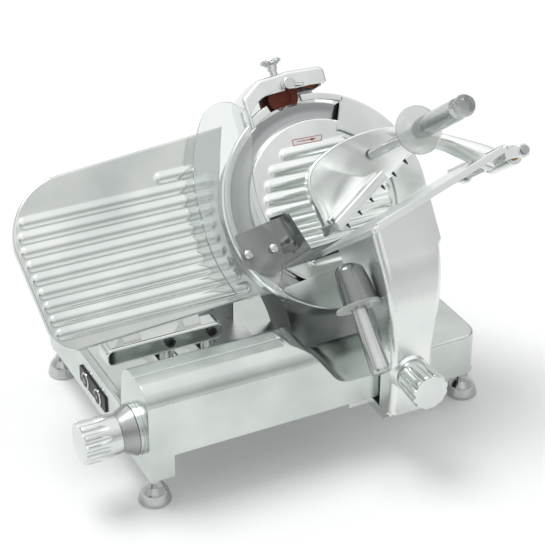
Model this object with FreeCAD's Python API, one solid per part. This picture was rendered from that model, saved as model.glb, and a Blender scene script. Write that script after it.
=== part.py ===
import FreeCAD, Part
import math
import os

# Millimetres. X runs along the carriage travel, -Y faces the carriage side, Z is up.

# Blade
blade_r = 150.0
blade_t = 6.0
blade_lean = 37.0
blade_x = 99.0
blade_y = 57.0
blade_z = 240.0

# Base casting
base_left = -226.0
base_right = 236.0
base_front = -130.0
base_back = 220.0
base_bottom = 40.0
deck_z = 97.0
deck_t = 7.0
wall_t = 7.0
corner_r = 24.0
step_x = 131.0
step_y = -100.0
hood_top = 162.0
hood_back = -50.0
hood_low = 104.0
skirt_z = 70.0
leg_right = -195.0
channel_right = 128.0
channel_front = -122.0
channel_back = -52.0
channel_top = 99.0
plate_t = 3.0

# Feet
foot_r = 20.0
foot_neck_r = 8.0
foot_left_x = -214.0
foot_right_x = 224.0
foot_back_y = 190.0
foot_front_left_y = -110.0
foot_front_right_y = -82.0
stud_r = 4.0
stud_len = 8.0

# Power inlet
inlet_x = 160.0
inlet_z = 66.0
inlet_w = 28.0
inlet_h = 21.0
inlet_depth = 20.0
inlet_rim = 3.0

# Carriage rail
rail_y = -88.0
rail_z = 80.0
rail_r = 10.0
bush_t = 4.0
bush_left = 43.0
arm_left = 69.0
arm_right = 124.0
arm_bend_z = 130.0
arm_bend_r = 120.0
arm_flare = 13.0
arm_head_z = 262.0
arm_back = -133.5
hub_t = 3.0
travel = 235.0
roller_r = 10.8
roller_z = 61.0
roller_axle_r = 3.0
support_top = 50.0

# Thickness setting
knob_y = -90.0
knob_z = 93.0
spindle_r = 8.0
knob_left = -304.0
scale_left = -250.0
collar_left = -232.0
collar_r = 31.5
cam_small_r = 11.0
gauge_travel = 18.8
cam_sweep = 290.0
nose_r = 4.0
nose_gap = 0.35
post_r = 8.5
post_y = 7.0
post_xs = (-144.5, -90.0)
gauge_t = 8.0
gauge_gap_r = 158.0
rib_r = 9.0
rib_sink = 6.2
rib_pitch = 17.0

# Blade housing
drum_r = 122.0
drum_front = -16.0
drum_back = -75.0
drum_wall = 9.0
shaft_r = 12.0
bearing_r = 20.0
tie_r = 4.0
cover_r = 105.5
motor_u = -78.0
motor_r = 42.0
motor_end = -165.0
motor_hood_r = 50.0
motor_hood_t = 4.0
motor_hood_back = 188.0
big_pulley_r = 52.0
small_pulley_r = 13.0
belt_t = 3.0
ring_in = 153.0
ring_out = 165.0
ring_mask_r = 108.0
ring_start = -130.0
ring_sweep = 198.0

# Sharpener
stone_x = -12.0
stone_u = 142.0
stone_r = 19.0
stone_pin_r = 4.0
polish_x = 20.0
polish_u = 154.0
polish_r = 10.0
polish_pin_r = 3.0
lift_x = -22.0
lift_u = 153.0
lever_x = -14.0
lever_u = 153.0

# Carriage tray and guards
tray_left = -36.0
tray_low = -60.0
tray_slope = 16.0
tray_w = 216.0
tray_t = 6.0
tray_near = 16.0
tray_far = 176.0
guard_t = 3.0
clear_t = 4.0

# Push handle
push_x = 42.0
push_y = -129.0
push_z = 205.0
push_tilt = -46.0
push_disc_r = 27.0

# Pusher
pivot_x = 187.0
pivot_u = -12.0
pivot_r = 5.0
sleeve_r = 7.0
hub_r = 12.5
hub_near = 92.0
hub_far = 150.0
pusher_n = 60.0
pusher_t = 16.0
flange_slope = 31.0
flange_t = 12.0
flange_far = 110.0
spike_count = 6
spike_pitch = 22.6
grip_x = 42.0
grip_u = 36.0
grip_rod_r = 6.5
grip_disc_r = 29.0
grip_disc_n = 202.0
grip_r = 12.5
grip_len = 105.0

# Fluted grips: share of the length left plain, groove radius for each unit of its depth
flute_collar = 0.12
flute_width = 1.6

# Fits
run = 0.05
gap = 0.4


def vec(x, y, z):
    return FreeCAD.Vector(x, y, z)


def block(x0, x1, y0, y1, z0, z1):
    return Part.makeBox(x1 - x0, y1 - y0, z1 - z0, vec(x0, y0, z0))


def bar(start, end, radius):
    """Round bar between two points."""
    reach = vec(*end) - vec(*start)
    return Part.makeCylinder(radius, reach.Length, vec(*start), reach)


def taper(start, end, r0, r1):
    """Round taper between two points."""
    reach = vec(*end) - vec(*start)
    return Part.makeCone(r0, r1, reach.Length, vec(*start), reach)


def outline(points, at):
    """Closed face through straight ends (a, b) and arcs (via, end)."""
    edges = []
    here = points[0]
    for step in points[1:] + [points[0]]:
        if isinstance(step[0], tuple):
            edges.append(Part.Arc(at(*here), at(*step[0]), at(*step[1])).toShape())
            here = step[1]
        elif step != here:
            edges.append(Part.makeLine(at(*here), at(*step)))
            here = step
    return Part.Face(Part.Wire(edges))


def along_x(points, x0, x1):
    return outline(points, lambda a, b: vec(x0, a, b)).extrude(vec(x1 - x0, 0, 0))


def along_y(points, y0, y1):
    return outline(points, lambda a, b: vec(a, y0, b)).extrude(vec(0, y1 - y0, 0))


def along_z(points, z0, z1):
    return outline(points, lambda a, b: vec(a, b, z0)).extrude(vec(0, 0, z1 - z0))


def lathe(points, base, direction):
    """Turned body from (radius, height) steps, standing at base along direction."""
    solid = outline(points, lambda r, h: vec(r, 0, h)).revolve(vec(0, 0, 0), vec(0, 0, 1), 360)
    solid.Placement = FreeCAD.Placement(vec(*base), FreeCAD.Rotation(vec(0, 0, 1), vec(*direction)))
    return solid


def joined(first, *others):
    return first.multiFuse(list(others)).removeSplitter()


def rounded(shape, radius, pick):
    """Round the edges that pick chooses by their middle point and bounding box."""
    edges = [edge for edge in shape.Edges if pick(edge.CenterOfMass, edge.BoundBox)]
    return shape.makeFillet(radius, edges)


def slab(x0, x1, y0, y1, r):
    """Rectangle in plan with round corners."""
    k = r * (1 - math.sqrt(0.5))
    return [
        (x0 + r, y0), (x1 - r, y0), ((x1 - k, y0 + k), (x1, y0 + r)),
        (x1, y1 - r), ((x1 - k, y1 - k), (x1 - r, y1)),
        (x0 + r, y1), ((x0 + k, y1 - k), (x0, y1 - r)),
        (x0, y0 + r), ((x0 + k, y0 + k), (x0 + r, y0)),
    ]


def stadium(cx, y0, y1, r):
    """Slot outline along Y with round ends."""
    return [(cx - r, y0), ((cx, y0 - r), (cx + r, y0)), (cx + r, y1), ((cx, y1 + r), (cx - r, y1))]


def lean(shape):
    """Place a shape drawn on the blade plane: x along it, y up it, z out of it."""
    placed = shape.copy()
    placed.rotate(vec(0, 0, 0), vec(1, 0, 0), 90 - blade_lean)
    placed.translate(vec(blade_x, blade_y, blade_z))
    return placed


def on_tray(shape):
    """Place a shape drawn on the tray floor: x across it, y off it, z away from the blade."""
    placed = shape.copy()
    placed.rotate(vec(0, 0, 0), vec(0, 0, 1), tray_slope)
    placed.translate(vec(tray_left, tray_low, 0))
    return lean(placed)


def on_push_axis(shape):
    """Place a shape drawn on the push handle's axis: z up into the arm."""
    placed = shape.copy()
    placed.rotate(vec(0, 0, 0), vec(1, 0, 0), push_tilt)
    placed.translate(vec(push_x, push_y, push_z))
    return placed


def fluted(start, end, r0, r1, count, depth):
    """Tapered grip with round-bottomed flutes and a plain collar at its start."""
    body = taper(start, end, r0, r1)
    reach = vec(*end) - vec(*start)
    turn = FreeCAD.Rotation(vec(0, 0, 1), reach)
    collar = flute_collar * reach.Length
    groove = depth * flute_width
    cutters = []
    for index in range(count):
        angle = 2 * math.pi * index / count
        c = math.cos(angle)
        s = math.sin(angle)
        low = vec((r0 + groove - depth) * c, (r0 + groove - depth) * s, collar)
        high = vec((r1 + groove - depth) * c, (r1 + groove - depth) * s, reach.Length)
        way = high - low
        cutter = Part.makeCylinder(groove, way.Length + depth, low, way)
        cutter.Placement = FreeCAD.Placement(vec(*start), turn).multiply(cutter.Placement)
        cutters.append(cutter)
    return body.cut(cutters)


def save(node, shape):
    shape.exportStep("parts/" + node + ".step")


def foot_spots():
    return [
        (foot_left_x, foot_front_left_y),
        (foot_right_x, foot_front_right_y),
        (foot_left_x, foot_back_y),
        (foot_right_x, foot_back_y),
    ]


def post_slots(z0, z1):
    """Cutters for the two slots the gauge posts move in."""
    reach = post_y + gauge_travel
    return [along_z(stadium(x, post_y, reach, post_r + gap * 2), z0, z1) for x in post_xs]


# Base

def base_body():
    """Deck and side walls of the casting before hollowing."""
    k = corner_r * (1 - math.sqrt(0.5))
    plan = [
        (base_left, base_front), (step_x, base_front), (step_x, step_y), (base_right - corner_r, step_y),
        ((base_right - k, step_y + k), (base_right, step_y + corner_r)),
        (base_right, base_back - corner_r),
        ((base_right - k, base_back - k), (base_right - corner_r, base_back)),
        (base_left + corner_r, base_back),
        ((base_left + k, base_back - k), (base_left, base_back - corner_r)),
    ]
    body = along_z(plan, base_bottom, deck_z)
    return rounded(body, 4.0, lambda c, b: c.z > deck_z - 0.1 and b.ZLength < 0.1 and (c.x > step_x or c.y > 0))


def rail_hood():
    """Long rounded hood over the carriage rail, falling in an S towards the arm."""
    section = [
        (base_front, skirt_z), (base_front, 139.0), ((-119.0, 156.5), (-90.0, hood_top)),
        ((-61.0, 156.5), (hood_back, 137.0)), (hood_back + 6, deck_z - 2), (hood_back + 6, skirt_z),
    ]
    side = [
        (base_left, skirt_z), (base_left, hood_top + 0.5), (-44.0, hood_top + 0.5),
        ((-23.7, 157.5), (-8.0, 143.7)), (11.2, 116.8), ((21.9, 107.4), (35.8, hood_low)),
        (step_x, hood_low), (step_x, skirt_z),
    ]
    across = along_x(section, base_left, step_x)
    return across.common(along_y(side, base_front - 1, hood_back + 8))


def base_housing():
    casting = joined(base_body(), rail_hood())
    casting = casting.fuse(bar((collar_left, knob_y, knob_z), (base_left + 1, knob_y, knob_z), collar_r))
    inner = slab(base_left + wall_t, base_right - wall_t, hood_back + 5, base_back - wall_t, corner_r - wall_t)
    front_pocket = block(step_x + 4, base_right - wall_t - 12, step_y + wall_t, hood_back + 20, 30, deck_z - deck_t)
    cutters = [
        along_z(inner, 30, deck_z - deck_t),
        front_pocket,
        block(leg_right, channel_right, channel_front, channel_back, 30, channel_top),
        block(leg_right, channel_right, base_front - 1, channel_front + 1, 30, skirt_z),
        block(leg_right, -50, -117, -63, channel_top - 1, 146),
        block(base_left + 9, leg_right - 4, -125, hood_back + 20, 50, 137),
        block(blade_x - motor_r - 4, blade_x + motor_r + 4, 46, 172, 80, deck_z + 1),
        bar((base_left - 20, knob_y, knob_z), (base_left + 10, knob_y, knob_z), spindle_r + run),
        bar((leg_right - 4, rail_y, rail_z), (leg_right + 1, rail_y, rail_z), rail_r),
        bar((channel_right - 1, rail_y, rail_z), (channel_right + 8, rail_y, rail_z), rail_r),
        inlet_box(base_back - wall_t - 1, base_back + 1, 0),
    ]
    cutters += [block(*switch_body(y)) for y in (24.0, 64.0)]
    hollow = casting.cut(cutters)
    solids = [hollow]
    for x, y in foot_spots():
        if y > 0 or x > 0:
            boss = bar((x, y, base_bottom), (x, y, deck_z - 2), 15.0)
            solids.append(boss.common(base_body()))
    lug = block(-130, -104, 62, 70, 52, deck_z - 2)
    solids.append(lug)
    full = joined(*solids)
    full = full.cut(post_slots(deck_z - deck_t - 1, deck_z + 1))
    full = full.cut([bar((x, y, 30), (x, y, base_bottom + stud_len), stud_r) for x, y in foot_spots()])
    return full.cut(guide_rod())


def switch_body(y):
    return (base_left - 1, base_left + wall_t + 1, y - 8, y + 8, 59, 75)


def bottom_plate():
    plan = slab(base_left + wall_t + 1, base_right - wall_t - 1, hood_back + 6, base_back - wall_t - 1, corner_r - wall_t - 1)
    plate = along_z(plan, base_bottom, base_bottom + plate_t)
    return plate.cut([bar((x, y, 30), (x, y, 50), 16.0) for x, y in foot_spots()])


def foot(x, y):
    shape = [
        (0, 0), (foot_r - 2, 0), ((foot_r - 0.4, 1.0), (foot_r, 3.5)), (foot_r, 6.0),
        ((foot_r - 4.5, 14.0), (foot_neck_r + 1, 19.0)), ((foot_neck_r, 24.0), (foot_neck_r, 29.0)),
        ((foot_neck_r + 1.5, 34.5), (foot_neck_r + 4, 37.0)), (foot_neck_r + 4, base_bottom),
        (stud_r, base_bottom), (stud_r, base_bottom + stud_len), (0, base_bottom + stud_len),
    ]
    return lathe(shape, (x, y, 0), (0, 0, 1))


def mound(x):
    """Flared oval collar around one gauge post."""
    reach = post_y + gauge_travel
    sections = []
    for z, r in ((deck_z + 1, 24.0), (deck_z + 3.5, 19.0), (deck_z + 10, 14.0)):
        sections.append(outline(stadium(x, post_y, reach, r), lambda a, b: vec(a, b, z)).OuterWire)
    return Part.makeLoft(sections, True, False)


def deck_plate():
    plan = slab(base_left + 9, -22, -19, base_back - 8, 8)
    sheet = along_z(plan, deck_z, deck_z + 2)
    whole = joined(sheet, *[mound(x) for x in post_xs])
    return whole.cut(post_slots(deck_z - 1, deck_z + 12))


def switch_bezel():
    plate = block(base_left - 2.5, base_left, 2, 86, 56, 78)
    plate = rounded(plate, 3.0, lambda c, b: b.XLength > 2.4)
    return plate.cut([bar((base_left - 4, y, 67), (base_left + 1, y, 67), 8.0 + gap) for y in (24.0, 64.0)])


def button(y):
    cap = bar((base_left - 5, y, 67), (base_left + 4, y, 67), 8.0)
    return rounded(cap, 1.0, lambda c, b: c.x < base_left - 4.9)


def inlet_box(y0, y1, grow):
    half = inlet_w / 2 + grow
    high = inlet_h / 2 + grow
    return block(inlet_x - half, inlet_x + half, y0, y1, inlet_z - high, inlet_z + high)


def cord_inlet():
    """Appliance socket set in the back wall: rim, shell and three contact blades."""
    front = base_back + inlet_rim
    back = base_back - inlet_depth
    rim = rounded(inlet_box(base_back, front, 4.0), 3.0, lambda c, b: b.YLength > inlet_rim - 0.1)
    shell = joined(rim, inlet_box(back, base_back, 0))
    shell = shell.cut(inlet_box(back + inlet_rim, front + 1, -2.0))
    blades = []
    for x, z in ((-7.0, 2.5), (0.0, -2.5), (7.0, 2.5)):
        blade_x0 = inlet_x + x - 1.0
        blades.append(block(blade_x0, blade_x0 + 2, back + 1, base_back - 2, inlet_z + z - 2.5, inlet_z + z + 2.5))
    return joined(shell, *blades)


# Blade drive

def blade_column():
    """Drum behind the blade on a neck that flares into the deck."""
    drum = rounded(bar((0, 0, drum_back), (0, 0, drum_front), drum_r), 6.0, lambda c, b: c.z < drum_back + 1)
    side = [
        (-124.0, -230.0), ((-88.0, -158.0), (-92.0, -80.0)), (92.0, -80.0),
        ((88.0, -158.0), (124.0, -230.0)),
    ]
    neck = along_z(side, drum_back, drum_front)
    boss = block(-40, 40, 100, 130, -60, -32)
    solid = joined(drum, neck, boss)
    well = [
        bar((0, 0, drum_back + drum_wall), (0, 0, drum_front - 6), 62.0),
        bar((0, motor_u, drum_back + drum_wall), (0, motor_u, drum_front - 6), 22.0),
        block(-57, 57, -42, 0, drum_back + drum_wall, drum_front - 6),
        block(-42, 42, -66, -40, drum_back + drum_wall, drum_front - 6),
        block(-34, 34, motor_u, -60, drum_back + drum_wall, drum_front - 6),
        bar((0, 0, drum_back - 1), (0, 0, drum_front + 1), bearing_r),
        bar((0, motor_u, drum_back - 1), (0, motor_u, drum_front - 6), 9.0),
    ]
    return lean(solid.cut(well)).common(block(-200, 400, -200, 400, deck_z, 600))


def hood_shell(r):
    arch = [(-r, -260.0), (-r, motor_u), ((0.0, motor_u + r), (r, motor_u)), (r, -260.0)]
    return lean(along_z(arch, -260, drum_back)).common(block(-100, 300, -100, motor_hood_back - motor_hood_r + r, deck_z, 400))


def motor_cover():
    return hood_shell(motor_hood_r).cut(hood_shell(motor_hood_r - motor_hood_t))


def motor():
    can = bar((0, motor_u, motor_end), (0, motor_u, drum_back), motor_r)
    return lean(rounded(can, 5.0, lambda c, b: c.z < motor_end + 1))


def motor_pulley():
    wheel = bar((0, motor_u, -60), (0, motor_u, -40), small_pulley_r)
    axle = bar((0, motor_u, drum_back), (0, motor_u, -36), 6.0)
    return lean(joined(wheel, axle))


def drive_belt():
    """Flat belt round both pulleys."""
    def loop(grow):
        big = bar((0, 0, -58), (0, 0, -42), big_pulley_r + grow)
        small = bar((0, motor_u, -58), (0, motor_u, -42), small_pulley_r + grow)
        ends = math.asin((big_pulley_r - small_pulley_r) / -motor_u)
        c = math.cos(ends)
        s = -math.sin(ends)
        rb = big_pulley_r + grow
        rs = small_pulley_r + grow
        web = [(-rb * c, rb * s), (-rs * c, motor_u + rs * s), (rs * c, motor_u + rs * s), (rb * c, rb * s)]
        return joined(big, small, along_z(web, -58, -42))
    return lean(loop(gap + belt_t).cut(loop(gap)))


def blade_pulley():
    wheel = bar((0, 0, -60), (0, 0, -40), big_pulley_r)
    return lean(wheel.cut(bar((0, 0, -70), (0, 0, -30), shaft_r)))


def blade_shaft():
    steps = [
        (tie_r + gap, drum_back + 1), (shaft_r, drum_back + 1), (shaft_r, -10), (32, -10), (32, -blade_t),
        (tie_r + gap, -blade_t),
    ]
    return lean(lathe(steps, (0, 0, 0), (0, 0, 1)))


def blade_bearings():
    rear = bar((0, 0, drum_back), (0, 0, drum_back + drum_wall), bearing_r)
    front = bar((0, 0, drum_front - 6), (0, 0, drum_front), bearing_r)
    hole = bar((0, 0, -90), (0, 0, 0), shaft_r + run)
    return lean(Part.makeCompound([rear.cut(hole), front.cut(hole)]))


def blade():
    """Hollow-ground disc: flat centre, shallow face groove, rear bevel."""
    steps = [
        (tie_r + gap, -blade_t), (136, -blade_t), (blade_r, -0.7), (blade_r, -0.2),
        ((131.0, -2.4), (112, -2.0)), (108, 0), (tie_r + gap, 0),
    ]
    return lean(lathe(steps, (0, 0, 0), (0, 0, 1)))


def ribs(left_at, right_at, rows, face_n):
    """Half-sunk round ribs along x with ball ends, standing proud of a face."""
    above = block(-600, 600, -300, 300, face_n - 1, face_n + 10)
    made = []
    for row in rows:
        length = right_at(row) - left_at(row)
        k = rib_r * math.sqrt(0.5)
        capsule = [(0, -rib_r), ((k, -k), (rib_r, 0)), (rib_r, length), ((k, length + k), (0, length + rib_r))]
        made.append(lathe(capsule, (left_at(row), row, face_n - rib_sink), (1, 0, 0)).common(above))
    return made


def blade_cover():
    disc = bar((0, 0, 1), (0, 0, 8), cover_r)
    disc = rounded(disc, 2.5, lambda c, b: c.z > 7.9)
    rows = [rib_pitch * (index - 3.5) for index in range(8)]
    half = {row: math.sqrt((cover_r - 15) ** 2 - row ** 2) for row in rows}
    disc = joined(disc, *ribs(lambda row: -half[row], lambda row: half[row], rows, 8.0))
    return lean(disc.cut(bar((0, 0, 0), (0, 0, 6), tie_r + run)))


def cover_tie_rod():
    return lean(bar((0, 0, -90), (0, 0, 6), tie_r))


def cover_release_knob():
    flange = bar((0, 0, drum_back - 4), (0, 0, drum_back), 24.0)
    grip = fluted((0, 0, drum_back - 4), (0, 0, drum_back - 24), 18.0, 17.0, 8, 2.0)
    return lean(joined(flange, grip).cut(bar((0, 0, -90), (0, 0, -60), tie_r)))


def sector(r0, r1, n0, n1):
    """Part ring about the blade axis over the guarded side."""
    outer = Part.makeCylinder(r1, n1 - n0, vec(0, 0, n0), vec(0, 0, 1), ring_sweep)
    outer.rotate(vec(0, 0, 0), vec(0, 0, 1), ring_start)
    return outer.cut(bar((0, 0, n0 - 1), (0, 0, n1 + 1), r0))


def ring_guard():
    rim = sector(ring_in, ring_out, drum_front, 6)
    mask = sector(ring_mask_r, ring_out, 1.5, 6)
    web = sector(66, ring_out, drum_front, -11).common(block(-45, 200, -200, 200, -20, 0))
    ring = joined(rim, mask, web)
    ring = rounded(ring, 3.0, lambda c, b: abs(c.z - 6) < 0.01 and b.XLength > 260)
    return lean(ring)


def slice_deflector():
    """Curved sheet on the deck that turns falling slices away from the column."""
    path = [
        (-27.0, 66.0), ((-47.0, 112.0), (-42.0, 176.0)), (-44.0, 176.0), ((-49.0, 112.0), (-29.0, 64.6)),
    ]
    low = deck_z + 2
    sheet = along_z(path, low, 190)
    toe = block(-64.0, -47.6, 106, 154, low, low + 2)
    return joined(sheet, toe).cut(bar((-56, 130, 90), (-56, 130, 110), 3.0))


# Sharpener

def sharpener_bracket():
    post = block(-38, 38, 130, 166, -60, -32)
    post = rounded(post, 6.0, lambda c, b: c.y > 165 and b.ZLength > 20)
    holes = [
        bar((stone_x, stone_u, -70), (stone_x, stone_u, -20), stone_pin_r + run),
        bar((polish_x, polish_u, -70), (polish_x, polish_u, -20), polish_pin_r + run),
    ]
    return lean(post.cut(holes))


def hood_solid(inset, floor, n0, n1):
    """Hood outline drawn in by inset, with round shoulders."""
    shape = [
        (-77.0 + inset, floor), (-77.0 + inset, 147.0 - inset / 2), (-50.0 + inset / 2, 166.0 - inset),
        (-8.0, 170.0 - inset), (42.0 - inset, 168.0 - inset), (42.0 - inset, floor),
    ]
    return rounded(along_z(shape, n0, n1), 9.0, lambda c, b: b.ZLength > 30 and c.y > 135)


def sharpener_housing():
    """Hood open below, its front wall cut up to a slanting edge over the stones."""
    body = rounded(hood_solid(0, 108.0, -32, 12), 5.0, lambda c, b: c.z > 11 and c.y > 109)
    inside = hood_solid(4, 100.0, -28, 8)
    window = along_z([
        (-72.0, 100.0), (-71.0, 124.0), ((-60.0, 137.0), (-42.0, 144.5)), (-8.0, 146.5), (50.0, 146.5), (50.0, 100.0),
    ], 0, 20)
    back_window = block(-66, 50, 90, 146, -40, 0)
    holes = [
        bar((stone_x, stone_u, -40), (stone_x, stone_u, -20), stone_pin_r + run),
        bar((polish_x, polish_u, -40), (polish_x, polish_u, -20), polish_pin_r + run),
        bar((lift_x, lift_u, 0), (lift_x, 190, 0), 5.0 + run),
        bar((lever_x, lever_u, 0), (lever_x, lever_u, 20), 3.0 + run),
        bar((0, 0, -9), (0, 0, 2.5), blade_r + 3),
    ]
    return lean(body.cut([inside, window, back_window] + holes))


def grinding_stone():
    wheel = lathe([(0, 0), (8, 0), (stone_r - 3, 3), (stone_r, 6), (stone_r, 12), (10, 12), (10, 9), (0, 9)],
                  (stone_x, stone_u, -23), (0, 0, 1))
    pin = bar((stone_x, stone_u, -62), (stone_x, stone_u, -20), stone_pin_r)
    return lean(joined(wheel, pin))


def deburring_stone():
    wheel = bar((polish_x, polish_u, 0.8), (polish_x, polish_u, 6.5), polish_r)
    pin = bar((polish_x, polish_u, -62), (polish_x, polish_u, 2), polish_pin_r)
    return lean(joined(wheel, pin))


def sharpener_knob():
    """Mushroom knob on a plain stem."""
    steps = [
        (0, 0), (5, 0), (5, 22), (6.5, 24), (6.5, 28), (13, 32), ((14.2, 33.5), (13, 35)),
        ((8.0, 37.0), (2.0, 37.5)), (0, 37.5),
    ]
    return lean(lathe(steps, (lift_x, lift_u, 0), (0, 1, 0)))


def stone_lever():
    hub = lathe([(0, 0), (3, 0), (3, 5.5), (8, 5.5), (8, 13), ((7.2, 14.4), (5.5, 15)), (0, 15)],
                (lever_x, lever_u, 7), (0, 0, 1))
    tip = bar((lever_x, lever_u, 17), (lever_x + 20, lever_u - 3, 17), 3.2)
    return lean(joined(hub, tip))


# Thickness setting

def gauge_plate():
    """Long ribbed plate left of the blade, cut round the blade's edge."""
    a = math.radians(157)
    b = math.radians(219.5)
    shape = [
        (-400.0, 26.0), ((-376.6, 82.6), (-326.0, 105.5)), (-142.0, 119.0),
        (gauge_gap_r * math.cos(a), gauge_gap_r * math.sin(a)),
        ((-gauge_gap_r, 0.0), (gauge_gap_r * math.cos(b), gauge_gap_r * math.sin(b))),
        (-352.0, -101.5), ((-376.7, -90.7), (-386.5, -69.5)),
    ]
    plate = along_z(shape, -gauge_t, 0)

    def left(row):
        if row > 26:
            return -308.0 - math.sqrt(80 ** 2 - (row - 26) ** 2)
        return -388.0 + 0.14 * (26 - row) - 0.05 * min(row + 60, 0)

    def right(row):
        return -math.sqrt((gauge_gap_r + 15) ** 2 - row ** 2)
    rows = [rib_pitch * index - 78 for index in range(9)]
    plate = joined(plate, *ribs(left, right, rows, 0.0))
    short = ribs(lambda row: -300.0 + row, lambda row: -160.0, [rib_pitch * 9 - 78], 0.0)
    return lean(joined(plate, *short))


def gauge_bar():
    beam = along_y(slab(-226, -74, 124, 148, 9), post_y - 12, post_y + 14)
    beam = rounded(beam, 4.0, lambda c, b: b.XLength > 100 and c.z > 140 or b.XLength > 100 and c.y < 0)
    lug = [(-2.3, 146.0), (0.8, 152.1), (36.3, 199.3), (47.5, 190.9), (20.0, 154.0), (20.0, 146.0)]
    plate_space = lean(block(-500, 200, -300, 300, -gauge_t, 100)).common(block(-500, 300, -200, 300, 149, 400))
    sides = [along_x(lug, x, x + 22).cut(plate_space) for x in (-201.0, -123.0)]
    whole = joined(beam, *sides)
    return whole.cut([bar((x, post_y, 120), (x, post_y, 142), post_r) for x in post_xs])


def gauge_posts():
    return Part.makeCompound([bar((x, post_y, 86), (x, post_y, 142), post_r) for x in post_xs])


def gauge_screws():
    heads = []
    for x in post_xs:
        head = bar((x, post_y - 16, 139), (x, post_y - 12, 139), 6.0)
        heads.append(head.cut(bar((x, post_y - 17, 139), (x, post_y - 14, 139), 2.8)))
    return Part.makeCompound(heads)


def guide_rod():
    return bar((-117, hood_back - 1, 70), (-117, 70, 70), 7.0)


def nose_y():
    return knob_y + cam_small_r + nose_gap + nose_r


def gauge_slider():
    """Slide block under the deck with a follower arm to the cam."""
    carrier = block(-165, -70, -14, 28, 56, 86)
    reach = block(-213, -160, -8, 8, 78, 86)
    finger = block(-213, -204, nose_y() + 8, 8, 78, 86)
    head = block(-213, -204, nose_y(), nose_y() + 12, 78, knob_z + nose_r)
    nose = bar((-213, nose_y(), knob_z), (-204, nose_y(), knob_z), nose_r)
    whole = joined(carrier, reach, finger, head, nose)
    return whole.cut(bar((-117, -60, 70), (-117, 80, 70), 7.0 + run))


def cam_plate():
    """Snail cam: its radius grows evenly with the angle, so the plate moves evenly."""
    def at(r, degrees):
        turn = math.radians(degrees)
        return vec(-213, knob_y + r * math.cos(turn), knob_z + r * math.sin(turn))
    count = 12
    curve = [at(cam_small_r + gauge_travel * k / count, -cam_sweep * k / count) for k in range(count + 1)]
    spiral = Part.BSplineCurve()
    spiral.interpolate(curve)
    top = at(cam_small_r + gauge_travel, -cam_sweep)
    dwell = at(cam_small_r, 32)
    edges = [
        spiral.toShape(),
        Part.makeLine(top, dwell),
        Part.Arc(dwell, at(cam_small_r, 16), at(cam_small_r, 0)).toShape(),
    ]
    return Part.Face(Part.Wire(edges)).extrude(vec(9, 0, 0))


def thickness_spindle():
    pin = bar((knob_left + 10, knob_y, knob_z), (-204, knob_y, knob_z), spindle_r)
    return joined(pin, cam_plate())


def scale_ring():
    ring = taper((scale_left, knob_y, knob_z), (collar_left - gap, knob_y, knob_z), 26.5, 30.5)
    return ring.cut(bar((scale_left - 1, knob_y, knob_z), (collar_left, knob_y, knob_z), spindle_r))


def thickness_knob():
    knob = fluted((scale_left, knob_y, knob_z), (knob_left, knob_y, knob_z), 26.0, 29.0, 12, 3.0)
    knob = rounded(knob, 1.5, lambda c, b: c.x < knob_left + 0.1 and b.XLength < 0.1)
    return knob.cut(bar((knob_left + 10, knob_y, knob_z), (scale_left + 1, knob_y, knob_z), spindle_r))


# Carriage

def carriage_rod():
    return bar((leg_right - 4, rail_y, rail_z), (channel_right + 8, rail_y, rail_z), rail_r)


def support_rail():
    return block(leg_right, channel_right, channel_back - 16, channel_back, support_top - 6, support_top)


def carriage_arm():
    """Arm that hooks under the hood to the rail and carries the tray on its head."""
    hub_r_out = rail_r + bush_t + hub_t
    flare = math.radians(arm_flare)
    slope_x = arm_right + arm_bend_r * (1 - math.cos(flare))
    slope_z = arm_bend_z + arm_bend_r * math.sin(flare)
    bend = (arm_right + arm_bend_r * (1 - math.cos(flare / 2)), arm_bend_z + arm_bend_r * math.sin(flare / 2))
    head_right = slope_x + (arm_head_z - slope_z) * math.tan(flare)
    side = [
        (-166.0, 62.0), ((-169.0, 120.0), (-162.0, 182.0)), ((-153.0, 226.0), (-133.0, arm_head_z)),
        (-100.0, 310.0), (20.0, 300.0), (-29.0, 225.0), ((-62.0, 198.0), (-106.0, 180.0)),
        ((-127.0, 168.0), (arm_back, 146.0)), (arm_back, 62.0),
    ]
    front = [
        (arm_left, 40.0), (arm_left, 340.0), (head_right, 340.0), (head_right, arm_head_z),
        (slope_x, slope_z), (bend, (arm_right, arm_bend_z)), (arm_right, 40.0),
    ]
    arm = along_x(side, arm_left, head_right).common(along_y(front, -220, 120))
    arm = rounded(arm, 9.0, lambda c, b: b.ZLength > 20 and b.YMax < -90 and (c.y < -134 or c.x < arm_left + 1))
    above_floor = on_tray(block(-300, 500, -tray_t, 400, -200, 500))
    arm = arm.cut(above_floor)
    hub = bar((bush_left, rail_y, rail_z), (arm_right, rail_y, rail_z), hub_r_out)
    hook = along_x([(-166.0, 64.0), (-150.0, 50.0), (-72.0, 50.0), (-72.0, 64.0)], arm_left, arm_right)
    side_foot = block(bush_left, arm_left, -112, -72, 50, 62)
    web = block(bush_left, arm_right, rail_y - 14, rail_y + 14, 55, rail_z)
    axle = bar((105, -73, roller_z), (105, -54, roller_z), roller_axle_r)
    knob_boss = taper((93, -163, 121), (93, -172, 121), 26.0, 21.0)
    arm = joined(arm, hub, hook, side_foot, web, axle, knob_boss)
    return arm.cut([
        bar((bush_left - 1, rail_y, rail_z), (arm_right + 1, rail_y, rail_z), rail_r + bush_t),
        bar((93, -180, 121), (93, -150, 121), 6.0 + run),
    ])


def slide_bush():
    tube = bar((bush_left, rail_y, rail_z), (arm_right, rail_y, rail_z), rail_r + bush_t)
    return tube.cut(bar((bush_left - 1, rail_y, rail_z), (arm_right + 1, rail_y, rail_z), rail_r + run))


def support_roller():
    wheel = bar((105, -67, roller_z), (105, -57, roller_z), roller_r)
    return wheel.cut(bar((105, -80, roller_z), (105, -50, roller_z), roller_axle_r + run))


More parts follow.
